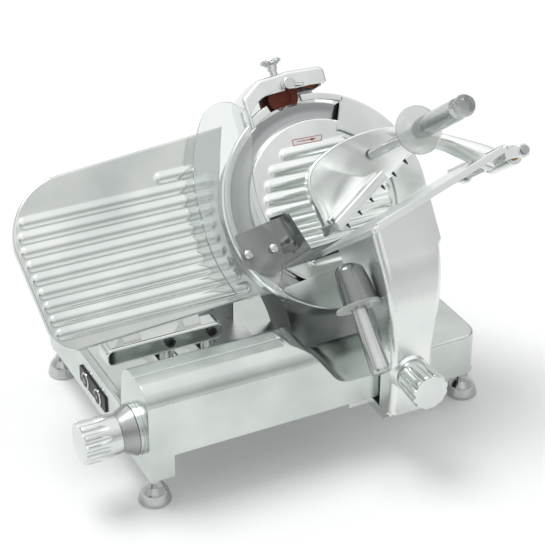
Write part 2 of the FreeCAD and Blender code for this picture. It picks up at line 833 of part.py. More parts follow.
def carriage_bumpers():
    def ring(x0, x1):
        outer = bar((x0, rail_y, rail_z), (x1, rail_y, rail_z), 15.0)
        return outer.cut(bar((x0 - 1, rail_y, rail_z), (x1 + 1, rail_y, rail_z), rail_r))
    return Part.makeCompound([
        ring(arm_right, channel_right),
        ring(leg_right, bush_left - travel),
    ])


def lock_knob():
    grip = fluted((93, -176, 121), (93, -216, 121), 19.0, 20.0, 9, 2.5)
    collar = bar((93, -172 - gap, 121), (93, -177, 121), 15.0)
    pin = bar((93, -151, 121), (93, -176, 121), 6.0)
    return joined(grip, collar, pin)


def carriage_tray():
    """Sloping floor with a raised outer rim and two eyes for the pusher rod."""
    plan = [
        (0.0, tray_near), (tray_w, tray_near), (tray_w, tray_far - 10), ((tray_w - 3, tray_far - 3), (tray_w - 10, tray_far)),
        (6.0, tray_far), ((1.8, tray_far - 1.8), (0.0, tray_far - 6)),
    ]
    floor = outline(plan, lambda a, b: vec(a, -tray_t, b)).extrude(vec(0, tray_t, 0))
    rim = block(8, tray_w - 12, -1, 3, tray_far - 4, tray_far)
    lip = block(tray_w - 4, tray_w, -1, 3, tray_near, tray_far - 12)
    tray = on_tray(joined(floor, rim, lip))
    eyes = []
    for n in (tray_near, tray_far - 10):
        eyes.append(bar((pivot_x, pivot_u, n), (pivot_x, pivot_u, n + 10), 8.5))
        eyes.append(block(160, pivot_x, pivot_u - 6, pivot_u + 6, n, n + 10))
    frame = lean(joined(*eyes)).cut(on_tray(block(0, tray_w, -tray_t + 1, 60, 0, 200)))
    hole = lean(bar((pivot_x, pivot_u, 0), (pivot_x, pivot_u, 200), pivot_r))
    return joined(tray, frame).cut(hole)


def guard_plate():
    """Dark plate over the blade's lower left edge, screwed to the tray's near edge."""
    shape = [
        (-131.0, -10.0), ((-118.0, -6.0), (-100.0, -6.0)), (-54.0, -2.0), (-38.0, -54.0), (10.0, -48.0),
        (14.0, -62.0), (-36.0, -76.0), (-96.0, -70.0), ((-112.0, -70.0), (-136.0, -57.0)),
    ]
    return lean(along_z(shape, tray_near - guard_t, tray_near).cut(guard_holes()))


def guard_spots():
    return [(-128.0, -45.0), (-96.0, -40.0)]


def guard_holes():
    return [bar((x, u, 0), (x, u, 40), 2.5) for x, u in guard_spots()]


def hand_guard():
    """Clear crescent shield in front of the blade's left edge."""
    shape = [
        (-94.0, 143.0), ((-118.0, 146.0), (-135.0, 137.0)), ((-168.0, 70.0), (-173.0, 19.0)),
        ((-171.0, -38.0), (-159.0, -78.0)), ((-149.0, -91.0), (-133.0, -94.0)), (-107.0, -94.0),
        ((-88.0, -66.0), (-86.0, -29.0)), ((-96.0, 28.0), (-84.0, 82.0)), (-77.0, 129.0),
    ]
    return lean(along_z(shape, tray_near, tray_near + clear_t).cut(guard_holes()))


def guard_screws():
    screws = []
    for x, u in guard_spots():
        head = lathe([(0, 4), (5.5, 4), ((4.6, 6.0), (2.0, 7.0)), (0, 7)], (x, u, tray_near), (0, 0, 1))
        pin = bar((x, u, tray_near - guard_t), (x, u, tray_near + 5), 2.5)
        screws.append(joined(head, pin))
    return lean(Part.makeCompound(screws))


def push_handle_block():
    """D-shaped stub on the arm's left face."""
    flat = arm_left - push_x
    shape = [(flat, -21.0), (flat, 21.0), (0.0, 21.0), ((-21.0, 0.0), (0.0, -21.0))]
    stub = along_z(shape, 2, 52)
    stub = rounded(stub, 6.0, lambda c, b: c.z > 51 and c.x < flat - 1)
    return on_push_axis(stub)


def push_handle_disc():
    return on_push_axis(rounded(bar((0, 0, -2), (0, 0, 2), push_disc_r), 1.0, lambda c, b: abs(c.z) > 1.9))


def push_handle_grip():
    grip = lathe([(0, -2), (9.5, -2), (9.5, -8), (12.5, -78), ((12.0, -81.5), (9.0, -83)), (0, -83)], (0, 0, 0), (0, 0, 1))
    return on_push_axis(grip)


# Pusher

def pusher_rod():
    return lean(bar((pivot_x, pivot_u, tray_near), (pivot_x, pivot_u, tray_far + 4), pivot_r))


def pusher_sleeve():
    tube = bar((pivot_x, pivot_u, hub_near - 2), (pivot_x, pivot_u, hub_far + 2), sleeve_r)
    return lean(tube.cut(bar((pivot_x, pivot_u, 0), (pivot_x, pivot_u, 200), pivot_r + run)))


def on_flange(shape):
    placed = shape.copy()
    placed.rotate(vec(0, 0, 0), vec(0, 0, 1), flange_slope)
    placed.translate(vec(-42, -47, 0))
    return placed


def pusher():
    """Pressing plate, inclined toothed flange and swan neck in one casting."""
    face = [
        (-42.0, -47.0), (-41.0, 22.0), ((-36.0, 40.0), (-20.0, 48.5)), ((22.0, 61.0), (68.0, 66.0)),
        (98.0, 62.0), (112.0, 46.0), (100.0, 38.5),
    ]
    plate = along_z(face, pusher_n, pusher_n + pusher_t)
    neck_side = [
        (84.0, 30.0), (84.0, 64.0), ((132.0, 58.0), (168.0, 32.0)), ((190.0, 16.0), (199.0, -10.0)),
        (187.0, -12.0), (177.5, -4.0), (173.0, 10.0), ((148.0, 27.0), (104.0, 36.0)),
    ]
    neck_plan = [
        (84.0, pusher_n), (128.0, pusher_n), ((158.0, 66.0), (176.0, hub_near)), (200.0, hub_near),
        (200.0, hub_far), (178.0, hub_far), ((140.0, 112.0), (100.0, pusher_n + pusher_t)), (84.0, pusher_n + pusher_t),
    ]
    plan_solid = outline(neck_plan, lambda a, b: vec(a, -60, b)).extrude(vec(0, 160, 0))
    neck = along_z(neck_side, 0, 200).common(plan_solid)
    hub = bar((pivot_x, pivot_u, hub_near), (pivot_x, pivot_u, hub_far), hub_r)
    flange = on_flange(block(0, 142, 0, flange_t, pusher_n, flange_far))
    bars = [on_flange(block(4, 132, flange_t - 1, flange_t + 5, n, n + 9)) for n in (84.0, 98.0)]
    whole = joined(plate, neck, hub, flange, *bars)
    return lean(whole.cut(bar((pivot_x, pivot_u, 0), (pivot_x, pivot_u, 200), sleeve_r + run)))


def pusher_spikes():
    spikes = []
    for index in range(spike_count):
        a = 12 + spike_pitch * index
        spikes.append(on_flange(taper((a, 0, flange_far - 5), (a, -7, flange_far - 5), 2.2, 0.8)))
    return lean(Part.makeCompound(spikes))


def grip_axis(n):
    return (grip_x, grip_u, n)


def pusher_handle_rod():
    return lean(bar(grip_axis(pusher_n + pusher_t), grip_axis(grip_disc_n), grip_rod_r))


def pusher_handle_disc():
    disc = bar(grip_axis(grip_disc_n), grip_axis(grip_disc_n + 4), grip_disc_r)
    return lean(rounded(disc, 1.0, lambda c, b: b.XLength > 20))


def pusher_handle_grip():
    start = grip_disc_n + 4
    steps = [(0, 0), (10, 0), (10, 4), (grip_r, 9), (grip_r, grip_len - 6), (grip_r - 2, grip_len), (0, grip_len)]
    return lean(lathe(steps, grip_axis(start), (0, 0, 1)))


def pusher_handle_ball():
    start = grip_disc_n + 4 + grip_len
    steps = [(0, 0), (9, 0), ((13.5, 8.0), (9.5, 16.0)), ((6.5, 18.2), (2.0, 19.0)), (0, 19)]
    return lean(lathe(steps, grip_axis(start), (0, 0, 1)))


os.makedirs("parts", exist_ok=True)

save("base_housing", base_housing())
save("bottom_plate", bottom_plate())
save("feet", Part.makeCompound([foot(x, y) for x, y in foot_spots()]))
save("deck_plate", deck_plate())
save("switch_bezel", switch_bezel())
save("start_button", button(24.0))
save("stop_button", button(64.0))
save("cord_inlet", cord_inlet())

save("blade_column", blade_column())
save("motor_cover", motor_cover())
save("motor", motor())
save("motor_pulley", motor_pulley())
save("drive_belt", drive_belt())
save("blade_pulley", blade_pulley())
save("blade_shaft", blade_shaft())
save("blade_bearings", blade_bearings())
save("blade", blade())
save("blade_cover", blade_cover())
save("cover_tie_rod", cover_tie_rod())
save("cover_release_knob", cover_release_knob())
save("ring_guard", ring_guard())
save("slice_deflector", slice_deflector())

save("sharpener_bracket", sharpener_bracket())
save("sharpener_housing", sharpener_housing())
save("grinding_stone", grinding_stone())
save("deburring_stone", deburring_stone())
save("sharpener_knob", sharpener_knob())
save("stone_lever", stone_lever())

save("gauge_plate", gauge_plate())
save("gauge_bar", gauge_bar())
save("gauge_posts", gauge_posts())
save("gauge_screws", gauge_screws())
save("gauge_guide_rod", guide_rod())
save("gauge_slider", gauge_slider())
save("thickness_spindle", thickness_spindle())
save("scale_ring", scale_ring())
save("thickness_knob", thickness_knob())

save("carriage_rod", carriage_rod())
save("support_rail", support_rail())
save("carriage_arm", carriage_arm())
save("slide_bush", slide_bush())
save("support_roller", support_roller())
save("carriage_bumpers", carriage_bumpers())
save("lock_knob", lock_knob())
save("carriage_tray", carriage_tray())
save("guard_plate", guard_plate())
save("hand_guard", hand_guard())
save("guard_screws", guard_screws())
save("push_handle_block", push_handle_block())
save("push_handle_disc", push_handle_disc())
save("push_handle_grip", push_handle_grip())

save("pusher_rod", pusher_rod())
save("pusher_sleeve", pusher_sleeve())
save("pusher", pusher())
save("pusher_spikes", pusher_spikes())
save("pusher_handle_rod", pusher_handle_rod())
save("pusher_handle_disc", pusher_handle_disc())
save("pusher_handle_grip", pusher_handle_grip())
save("pusher_handle_ball", pusher_handle_ball())
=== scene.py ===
import bmesh
import math
import bpy
import numpy as np
from mathutils import Matrix, Vector


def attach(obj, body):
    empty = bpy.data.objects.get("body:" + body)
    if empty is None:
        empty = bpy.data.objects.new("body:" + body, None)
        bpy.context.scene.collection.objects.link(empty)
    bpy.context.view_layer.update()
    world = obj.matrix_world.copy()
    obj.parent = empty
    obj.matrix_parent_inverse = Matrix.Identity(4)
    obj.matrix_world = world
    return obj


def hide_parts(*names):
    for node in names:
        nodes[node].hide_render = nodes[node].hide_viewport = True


# An electric gravity slicer: a cast aluminium base, a leaning round blade, a ribbed
# gauge plate and a sliding tray with its pusher. Metres, +Z up, -Y the carriage side.

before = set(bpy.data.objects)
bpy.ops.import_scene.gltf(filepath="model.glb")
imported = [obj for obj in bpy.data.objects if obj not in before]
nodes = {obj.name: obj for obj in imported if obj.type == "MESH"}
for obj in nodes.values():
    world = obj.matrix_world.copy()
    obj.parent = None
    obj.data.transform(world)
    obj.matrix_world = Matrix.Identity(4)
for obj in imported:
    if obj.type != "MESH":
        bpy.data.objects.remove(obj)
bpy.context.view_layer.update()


# Base casting.
# Sand-cast aluminium, linished by hand and left bare: a pale, slightly greenish
# metal with soft streaks of polish over the hood that runs above the carriage rail.

def linear(code):
    """Turns an sRGB hex colour into linear values: the power curve above 0.04045, a line below."""
    parts = [int(code[i:i + 2], 16) / 255 for i in (1, 3, 5)]
    return [c / 12.92 if c <= 0.04045 else ((c + 0.055) / 1.055) ** 2.4 for c in parts] + [1.0]


def add(tree, kind, settings=None, **links):
    """Adds one node. Settings are its properties or socket values, by name or by number, and links
    its inputs by socket name or, where names repeat, by number after an underscore. In a MapRange
    the sockets 1 and 2 are the range that comes in, and 3 and 4 the range that goes out."""
    node = tree.nodes.new("ShaderNode" + kind)
    for key, value in (settings or {}).items():
        if isinstance(key, str) and hasattr(node, key):
            setattr(node, key, value)
        else:
            node.inputs[key].default_value = value
    for key, source in links.items():
        socket = int(key[1:]) if key[0] == "_" else key.replace("_", " ")
        tree.links.new(source, node.inputs[socket])
    return node


def bare_metal(name, dark, light, rough, spread, grain, stretch=(1, 1, 1), lift=0.1, cloud=9.0,
               turn=(0, 0, 0)):
    """Bare or plated metal: tone in clouds, so many to the metre, between two colours; roughness
    that wanders by spread round its middle; and a fine grain of the given size in metres, drawn
    out along an axis by stretch, turned with the piece and raised as a bump by lift."""
    material = bpy.data.materials.new(name)
    material.use_nodes = True
    tree = material.node_tree
    shader = tree.nodes["Principled BSDF"]
    shader.inputs["Metallic"].default_value = 1.0
    place = add(tree, "TexCoord").outputs["Object"]
    lined_up = add(tree, "Mapping", {"vector_type": "TEXTURE", "Rotation": turn}, Vector=place)
    along = add(tree, "Mapping", {"Scale": stretch}, Vector=lined_up.outputs["Vector"]).outputs["Vector"]
    patches = add(tree, "TexNoise", {"Scale": cloud, "Detail": 3.0}, Vector=place).outputs["Fac"]
    grit = add(tree, "TexNoise", {"Scale": 1 / grain, "Detail": 4.0, "Roughness": 0.6},
               Vector=along).outputs["Fac"]
    tone = add(tree, "ValToRGB", Fac=patches)
    tone.color_ramp.elements[0].position = 0.3
    tone.color_ramp.elements[0].color = linear(dark)
    tone.color_ramp.elements[1].position = 0.7
    tone.color_ramp.elements[1].color = linear(light)
    tree.links.new(tone.outputs["Color"], shader.inputs["Base Color"])
    # Half of the clouds and all of the grain make the polish uneven; their sum lies in 0.45 to 1.05.
    mixed = add(tree, "Math", {"operation": "MULTIPLY_ADD", 1: 0.5}, _0=patches, _2=grit).outputs["Value"]
    gloss = add(tree, "MapRange", {1: 0.45, 2: 1.05, 3: rough - spread, 4: rough + spread},
                Value=mixed).outputs["Result"]
    tree.links.new(gloss, shader.inputs["Roughness"])
    bump = add(tree, "Bump", {"Strength": lift, "Distance": 0.0002}, Height=grit).outputs["Normal"]
    tree.links.new(bump, shader.inputs["Normal"])
    return material


def dress(material, *names):
    """Gives CAD nodes, which keep their own shape, their finish."""
    for name in names:
        nodes[name].data.materials.clear()
        nodes[name].data.materials.append(material)


def eased(name, material, body, width, sharper=28.0):
    """Stands in for a CAD node with a merged copy of its mesh, whose flat facets are joined and
    whose edges, where they turn by more than sharper degrees, are worn round by width in metres,
    as hand finishing leaves them."""
    weld, flat = 0.00001, math.radians(0.3)
    mesh = nodes[name].data.copy()
    shape = bmesh.new()
    shape.from_mesh(mesh)
    bmesh.ops.remove_doubles(shape, verts=shape.verts, dist=weld)
    bmesh.ops.dissolve_limit(shape, angle_limit=flat, verts=shape.verts, edges=shape.edges)
    for face in shape.faces:
        face.smooth = True
    shape.to_mesh(mesh)
    shape.free()
    if "custom_normal" in mesh.attributes:
        mesh.attributes.remove(mesh.attributes["custom_normal"])
    mesh.materials.clear()
    mesh.materials.append(material)
    piece = bpy.data.objects.new("worn_" + name, mesh)
    bpy.context.scene.collection.objects.link(piece)
    edge = piece.modifiers.new("worn_edges", "BEVEL")
    edge.width = width
    edge.segments = 3
    edge.limit_method = "ANGLE"
    edge.angle_limit = math.radians(sharper)
    edge.use_clamp_overlap = False
    even = piece.modifiers.new("flat_faces_lead", "WEIGHTED_NORMAL")
    even.weight = 80
    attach(piece, body)
    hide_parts(name)
    return piece


# Sand-cast aluminium linished on a belt: marks about 1 mm wide run along the length, so
# reflections smear sideways into soft streaks over a pale grey-green tone.
linished = bare_metal("linished_cast_aluminium", "#BCC2BF", "#DADFDB", 0.21, 0.05, 0.0011, (0.06, 1, 1), 0.03)
eased("base_housing", linished, "base", 0.0009)
dress(linished, "motor_cover", "blade_pulley", "gauge_slider")


# Feet.
# Four bell-shaped feet turned from steel bar and chromed, each on a thin neck that
# screws up into a boss of the casting.
mm = 0.001


def soft_profile(corners, step):
    """Outline through (across, along, fillet) corners. A fillet is the arc of that radius tangent
    to both sides of its corner, read at eight angles, and cut back where it would take more than
    half of a side. Straight runs are divided so that no part is longer than step."""
    points = [np.array(c[:2], float) for c in corners]
    parts = []
    for k, here in enumerate(points):
        fillet = corners[k][2]
        if fillet == 0 or k in (0, len(points) - 1):
            parts.append(here[None])
            continue
        back, ahead = points[k - 1] - here, points[k + 1] - here
        before, after = np.linalg.norm(back), np.linalg.norm(ahead)
        back, ahead = back / before, ahead / after
        half = math.acos(np.clip(back @ ahead, -1, 1)) / 2
        cut = min(fillet / math.tan(half), 0.49 * before, 0.49 * after)
        middle = here + (back + ahead) / np.linalg.norm(back + ahead) * cut / math.cos(half)
        turn = math.pi - 2 * half
        t = np.linspace(0, 1, 8)[:, None]
        parts.append(middle + (np.sin((1 - t) * turn) * (here + back * cut - middle)
                               + np.sin(t * turn) * (here + ahead * cut - middle)) / math.sin(turn))
    line = np.vstack(parts)
    counts = np.maximum(1, np.ceil(np.linalg.norm(np.diff(line, axis=0), axis=1) / step)).astype(int)
    knots = np.concatenate([k + np.arange(c) / c for k, c in enumerate(counts)] + [[len(line) - 1.0]])
    return np.stack([np.interp(knots, np.arange(len(line)), line[:, k]) for k in (0, 1)], 1)


def surface(name, grids, material, body, stands_for=(), crease=35.0):
    """Closed skins over grids of points in millimetres: quads join neighbouring rows, and each row
    closes on itself. Points that meet at a pole or seam are merged and all faces turned outwards.
    Edges that turn by more than crease degrees stay sharp to the eye."""
    weld, sliver = 0.000002, 0.000001
    points, quads, offset = [], [], 0
    for grid in grids:
        rows, cols = grid.shape[:2]
        i, j = np.meshgrid(np.arange(rows - 1), np.arange(cols), indexing="ij")
        k = (j + 1) % cols
        faces = np.stack([i * cols + j, i * cols + k, (i + 1) * cols + k, (i + 1) * cols + j], -1)
        quads.append(faces.reshape(-1, 4) + offset)
        points.append(grid.reshape(-1, 3) * mm)
        offset += rows * cols
    mesh = bpy.data.meshes.new(name)
    mesh.from_pydata(np.vstack(points).tolist(), [], np.vstack(quads).tolist())
    shape = bmesh.new()
    shape.from_mesh(mesh)
    bmesh.ops.remove_doubles(shape, verts=shape.verts, dist=weld)
    bmesh.ops.dissolve_degenerate(shape, dist=sliver, edges=shape.edges)
    bmesh.ops.recalc_face_normals(shape, faces=shape.faces)
    for face in shape.faces:
        face.smooth = True
    shape.to_mesh(mesh)
    shape.free()
    mesh.set_sharp_from_angle(angle=math.radians(crease))
    mesh.materials.append(material)
    piece = bpy.data.objects.new(name, mesh)
    bpy.context.scene.collection.objects.link(piece)
    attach(piece, body)
    if stands_for:
        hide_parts(*stands_for)
    return piece


def turned(corners, base, direction, around=96, step=4.0, carve=None):
    """Grid of a turned piece: base + r cos a U + r sin a V + h W, with the outline's r and h and W
    along the axis. Carve may change the three local coordinates before they are placed."""
    outline = soft_profile(corners, step)
    w = np.array(direction, float) / np.linalg.norm(direction)
    u = np.cross((0, 0, 1) if abs(w[2]) < 0.9 else (1, 0, 0), w)
    u = u / np.linalg.norm(u)
    v = np.cross(w, u)
    a = np.linspace(0, 2 * np.pi, around, endpoint=False)[None]
    r, h = outline[:, :1], outline[:, 1:]
    x, y, z = r * np.cos(a), r * np.sin(a), h + 0 * a
    if carve:
        x, y, z = carve(x, y, z)
    return np.array(base, float) + x[..., None] * u + y[..., None] * v + z[..., None] * w


# Bright chrome plate: near-white, with sharp reflections only a little broken by the polish under it.
chrome = bare_metal("bright_chrome_plate", "#C2C4C4", "#DEE0E0", 0.11, 0.04, 0.004, (1, 1, 6), 0.01)
# Satin chrome plate on turned steel: darker, and blurred round the foot by fine turning marks.
satin_chrome = bare_metal("satin_chrome_plate", "#ABADAD", "#C8CACA", 0.17, 0.05, 0.0012, (1, 1, 0.2), 0.03)
# Rim on the table, bell, neck, collar under the casting, and the stud that screws into it.
bell = [(0, 0, 0), (18.6, 0, 0), (20, 1.6, 1), (19.6, 4.5, 2), (16.4, 15, 9), (10.6, 23, 8),
        (7.6, 29, 5), (7.8, 34, 3), (11.5, 37.5, 2), (12, 40, 0), (4, 40, 0), (4, 48, 0), (0, 48, 0)]
feet_at = [(-214, -110), (224, -82), (-214, 190), (224, 190)]
surface("bell_feet", [turned(bell, (x, y, 0), (0, 0, 1), 64, 3.0) for x, y in feet_at], satin_chrome,
        "base", ["feet"])


# Deck plate and bottom plate.
# Stainless sheet, brushed along its length, laid in the casting; the deck plate has two
# flared oval collars where the gauge posts come through.

# Brushed stainless sheet: hair lines along its length, drawn at 0.6 mm so that they show, give it
# one broad dull sheen and no clear reflection.
brushed_sheet = bare_metal("brushed_stainless_sheet", "#CCD1CE", "#E0E4E1", 0.30, 0.07, 0.0006, (0.03, 1, 1))
eased("deck_plate", brushed_sheet, "base", 0.0005)
dress(brushed_sheet, "bottom_plate", "support_rail")


# Switch panel and power socket.
# Black moulded panel on the left wall with a start and a stop button, each in a chromed ring and
# marked I or O; the socket for a power lead sits in the back wall.

def moulded(name, dark, light, rough, grain, lift=0.15):
    """Moulded surface: two close tones in a fine speckle, with the speckle as a shallow bump."""
    material = bpy.data.materials.new(name)
    material.use_nodes = True
    tree = material.node_tree
    shader = tree.nodes["Principled BSDF"]
    shader.inputs["Roughness"].default_value = rough
    place = add(tree, "TexCoord").outputs["Object"]
    grit = add(tree, "TexNoise", {"Scale": 1 / grain, "Detail": 3.0}, Vector=place).outputs["Fac"]
    tone = add(tree, "ValToRGB", Fac=grit)
    tone.color_ramp.elements[0].position = 0.35
    tone.color_ramp.elements[0].color = linear(dark)
    tone.color_ramp.elements[1].position = 0.65
    tone.color_ramp.elements[1].color = linear(light)
    tree.links.new(tone.outputs["Color"], shader.inputs["Base Color"])
    bump = add(tree, "Bump", {"Strength": lift, "Distance": 0.0001}, Height=grit).outputs["Normal"]
    tree.links.new(bump, shader.inputs["Normal"])
    return material


# ABS moulded in a spark-textured tool: black, with a soft half-gloss and a leathery fine grain.
moulded_black = moulded("moulded_black_abs", "#1B1C1D", "#2A2B2D", 0.42, 0.0008)
eased("switch_bezel", moulded_black, "base", 0.0006)
dress(moulded_black, "start_button", "stop_button", "cord_inlet")
start_y, stop_y, button_z, panel_x, button_x = 24, 64, 67, -228.5, -231
leftward = (-1, 0, 0)
button_ring = [(8.5, 0, 0), (10.6, 0, 0), (10.6, 1.2, 0.5), (9.6, 2.0, 0.4), (8.5, 2.0, 0.3), (8.5, 0, 0)]
surface("switch_rings", [turned(button_ring, (panel_x, y, button_z), leftward, 64)
                         for y in (start_y, stop_y)], chrome, "base")
# White ink from a rubber pad: flat, opaque and a little rough, in a layer of 0.12 mm.
white_print = moulded("white_pad_print", "#E9EAE8", "#F4F5F3", 0.5, 0.0006, 0.05)
dot = [(0, 0, 0), (3.1, 0, 0), (3.1, 0.12, 0), (0, 0.12, 0)]
surface("start_mark", [turned(dot, (button_x, start_y, button_z), leftward, 48,
                              carve=lambda x, y, z: (0.2 * x, y, z))],
        white_print, "start_button")
loop = [(2.3, 0, 0), (3.1, 0, 0), (3.1, 0.12, 0), (2.3, 0.12, 0), (2.3, 0, 0)]
surface("stop_mark", [turned(loop, (button_x, stop_y, button_z), leftward, 48)], white_print,
        "stop_button")


# Blade column and motor.
# Polished casting that stands behind the blade and holds its bearings; the motor can, the belt
# and the shafts are closed in below it.

# Polished cast aluminium, its colour painted dark as painted shade for the column's place under the blade and
# behind the push handle: smooth and slightly wavy, with clear but soft-edged reflections.
polished = bare_metal("polished_aluminium_painted_shade", "#737676", "#929594", 0.17, 0.05, 0.003, (1, 1, 0.2), 0.02)
dress(polished, "blade_column", "slice_deflector")
# Stoved grey enamel: half-gloss, with the slight orange peel of a sprayed coat.
motor_enamel = moulded("grey_motor_enamel", "#3B3D3F", "#4A4C4E", 0.38, 0.002)
dress(motor_enamel, "motor")
# Ground bearing steel: cool grey, with grinding lines round the shafts that stretch highlights.
ground_steel = bare_metal("ground_bearing_steel", "#A6A8A9", "#C2C4C4", 0.20, 0.05, 0.0008, (1, 0.1, 1))
dress(ground_steel, "motor_pulley", "blade_shaft", "blade_bearings", "cover_tie_rod", "gauge_guide_rod",
      "carriage_rod", "support_roller", "thickness_spindle")
# Moulded rubber: nearly black and dull, with a coarse dry speckle.
belt_rubber = moulded("black_belt_rubber", "#121212", "#1E1E1E", 0.75, 0.0006, 0.3)
dress(belt_rubber, "drive_belt", "carriage_bumpers")


# Blade.
# Hardened and ground steel disc, hollow behind its edge: the grinding wheel leaves fine rings
# round the axis, and the hone a narrow bright bevel at the rim.

# The plane of the blade leans back by 37 degrees through the hub, given in millimetres. The
# gauge, the ring, the sharpener, the tray and the pusher are all set from it. Lay turns a grain
# to run along it.
lean = math.radians(37)
up = np.array([0, math.sin(lean), math.cos(lean)])
out = np.array([0, -math.cos(lean), math.sin(lean)])
hub = np.array([99.0, 57.0, 240.0])
lay = (math.pi / 2 - lean, 0, 0)


def leaned(x, u, n):
    """Points of the blade's plane in the room, in millimetres: hub + x X + u UP + n OUT, where X
    runs right along the plane, UP climbs it and OUT leaves it towards the user."""
    x, u, n = np.broadcast_arrays(x, u, n)
    return hub + x[..., None] * np.array([1.0, 0, 0]) + u[..., None] * up + n[..., None] * out


# Hollow-ground chromium steel: light grey, with rings of roughness round the hub that fan the
# highlight out like the spokes of a wheel.
blade_steel = bpy.data.materials.new("hollow_ground_blade_steel")
blade_steel.use_nodes = True
tree = blade_steel.node_tree
shader = tree.nodes["Principled BSDF"]
shader.inputs["Metallic"].default_value = 1.0
shader.inputs["Base Color"].default_value = linear("#B4B6B7")
spot = add(tree, "Mapping", {"vector_type": "TEXTURE", "Location": hub * mm, "Rotation": lay},
           Vector=add(tree, "TexCoord").outputs["Object"]).outputs["Vector"]
flat = add(tree, "VectorMath", {"operation": "MULTIPLY", 1: (1, 1, 0)}, _0=spot).outputs["Vector"]
reach = add(tree, "VectorMath", {"operation": "LENGTH"}, _0=flat).outputs["Value"]
# Grinding rings are about 0.2 mm apart; drawn at 0.9 mm so that they show.
rings = add(tree, "TexNoise", {"noise_dimensions": "1D", "Scale": 1100.0, "Detail": 3.0},
            W=reach).outputs["Fac"]
gloss = add(tree, "MapRange", {3: 0.14, 4: 0.30}, Value=rings).outputs["Result"]
tree.links.new(gloss, shader.inputs["Roughness"])
bump = add(tree, "Bump", {"Strength": 0.12, "Distance": 0.0002}, Height=rings).outputs["Normal"]
tree.links.new(bump, shader.inputs["Normal"])
# Bore, back cone, edge of 127 mm radius, honed bevel, hollow, and the flat front face.
blade_line = [(4.4, -6, 0), (113, -6, 1), (126.6, -0.8, 0.2), (127, -0.5, 0.1), (126.8, -0.3, 0.1),
              (124.2, -0.75, 0.5), (116.5, -2.4, 30), (107.5, -2.1, 4), (103.6, 0, 1.2), (4.4, 0, 0),
              (4.4, -6, 0)]
surface("hollow_ground_blade", [turned(blade_line, hub, out, 256, 3.0)], blade_steel, "blade_spindle",
        ["blade"])


# Blade cover.
# Round polished casting over the middle of the blade, with nine half-round ribs that food slides
# on; a pad near its top edge carries the arrow for the blade's turn.

rib_r, rib_sunk, rib_pitch = 9.0, 6.2, 17.0


def rib_swell(x, u, rows):
    """Height of the ribs above their face: in each row a round bar of the rib's radius, sunk into
    the face, lies between two points. Beside it the height falls steeply, and the smooth maximum
    (b + sqrt(b2 + 1)) / 2 of it and nothing runs the bar into the face."""
    best = np.full(x.shape, -9.0)
    for row, left, right in rows:
        d = np.hypot(np.clip(x, left, right) - x, u - row)
        side = rib_r - 0.1
        cap = np.sqrt(rib_r ** 2 - np.minimum(d, side) ** 2) - rib_sunk - 5 * np.maximum(d - side, 0)
        best = np.maximum(best, cap)
    return (best + np.sqrt(best ** 2 + 1.0)) / 2


cover_r, cover_face, cover_round, ribbed_r = 105.5, 8, 2.5, 79.5
rows = []
for i in range(-4, 5):
    half_rib = math.sqrt(ribbed_r ** 2 - (rib_pitch * i) ** 2)
    rows.append((rib_pitch * i, -half_rib, half_rib))
# Rings of points: the face, the rounded rim, then the rim's foot and the flat back.
tuck = np.sin(np.linspace(0, math.pi / 2, 7))[1:]
r = np.concatenate([np.linspace(0, cover_r - cover_round, 110), cover_r - cover_round + cover_round * tuck,
                    [cover_r, cover_r - 0.4, 0]])
a = np.linspace(0, 2 * np.pi, 480, endpoint=False)[None]
x, u = r[:, None] * np.cos(a), r[:, None] * np.sin(a)
n = cover_face + rib_swell(x, u, rows)
n[110:116] -= cover_round - cover_round * np.sqrt(1 - np.clip(tuck, 0, 1)[:, None] ** 2)
n[116], n[117], n[118] = 1.4, 1.0, 1.0
# Satin-polished casting: the palest metal here, with wide soft highlights down each rib.
cover_polish = bare_metal("satin_polished_cover", "#DDE1DF", "#EFF2F0", 0.22, 0.02, 0.0011, (0.1, 1, 1),
                          0.02, 14.0, lay)
surface("ribbed_blade_cover", [leaned(x, u, n)], cover_polish, "base",
        ["blade_cover"], 60.0)


def prism(points, n0, n1, middle):
    """Thin plate on the blade's plane: its outline at two heights, closed by fans to a middle point."""
    line = np.array(points, float)
    point = np.full_like(line, 0) + middle
    rows = [(point, n0), (line, n0), (line, n1), (point, n1)]
    return np.stack([leaned(p[:, 0], p[:, 1], np.float64(height)) for p, height in rows])


# Stoved sign enamels: clean white and deep red, smooth and half-gloss beside the brushed metal.
sign_white = moulded("white_sign_enamel", "#F0F1EF", "#FAFBF9", 0.35, 0.0009, 0.05)
sign_red = moulded("red_sign_enamel", "#9E1F2B", "#B52A36", 0.35, 0.0009, 0.05)
sign = np.array([(-26.7, 76.3), (13.2, 75.3), (15.6, 83.0), (-26.2, 84.4)])
centre = sign.mean(axis=0)
surface("turn_arrow_pad", [prism(sign, 8.05, 8.32, centre)], sign_white, "base")
# A border line and an arrow, both 0.1 mm proud of the pad.
inner = centre + (sign - centre) * np.array([0.955, 0.78])
edge = centre + (sign - centre) * np.array([0.995, 0.97])
border = np.stack([leaned(p[:, 0], p[:, 1], np.float64(h)) for p, h in
                   ((edge, 8.3), (edge, 8.42), (inner, 8.42), (inner, 8.3), (edge, 8.3))])
arrow = centre + np.array([(-14, 0.4), (5, -0.4), (5, -1.9), (12.5, 0.0), (5, 1.9), (5, 0.7), (-14, 1.1)])
surface("turn_arrow", [border, prism(arrow, 8.3, 8.42, centre + np.array([5.5, 0.1]))], sign_red,
        "base")
dress(chrome, "cover_release_knob")


# Ring guard.
# Cast ring round the blade, deep on the right and slim on the left, whose mask lies over the
# blade's edge at the right and, as a straight-topped apron, below.

# Satin-finished casting: pale grey, a shade darker than the cover, with soft streaks along it.
ring_metal = bare_metal("satin_ring_casting", "#D8DCDA", "#ECEFED", 0.22, 0.02, 0.0012, (0.2, 1, 1),
                        0.02, 10.0, lay)
rim_in, rim_out, mask_in, mask_back, mask_front = 129, 137, 92, 8.4, 12
rim_start = -130


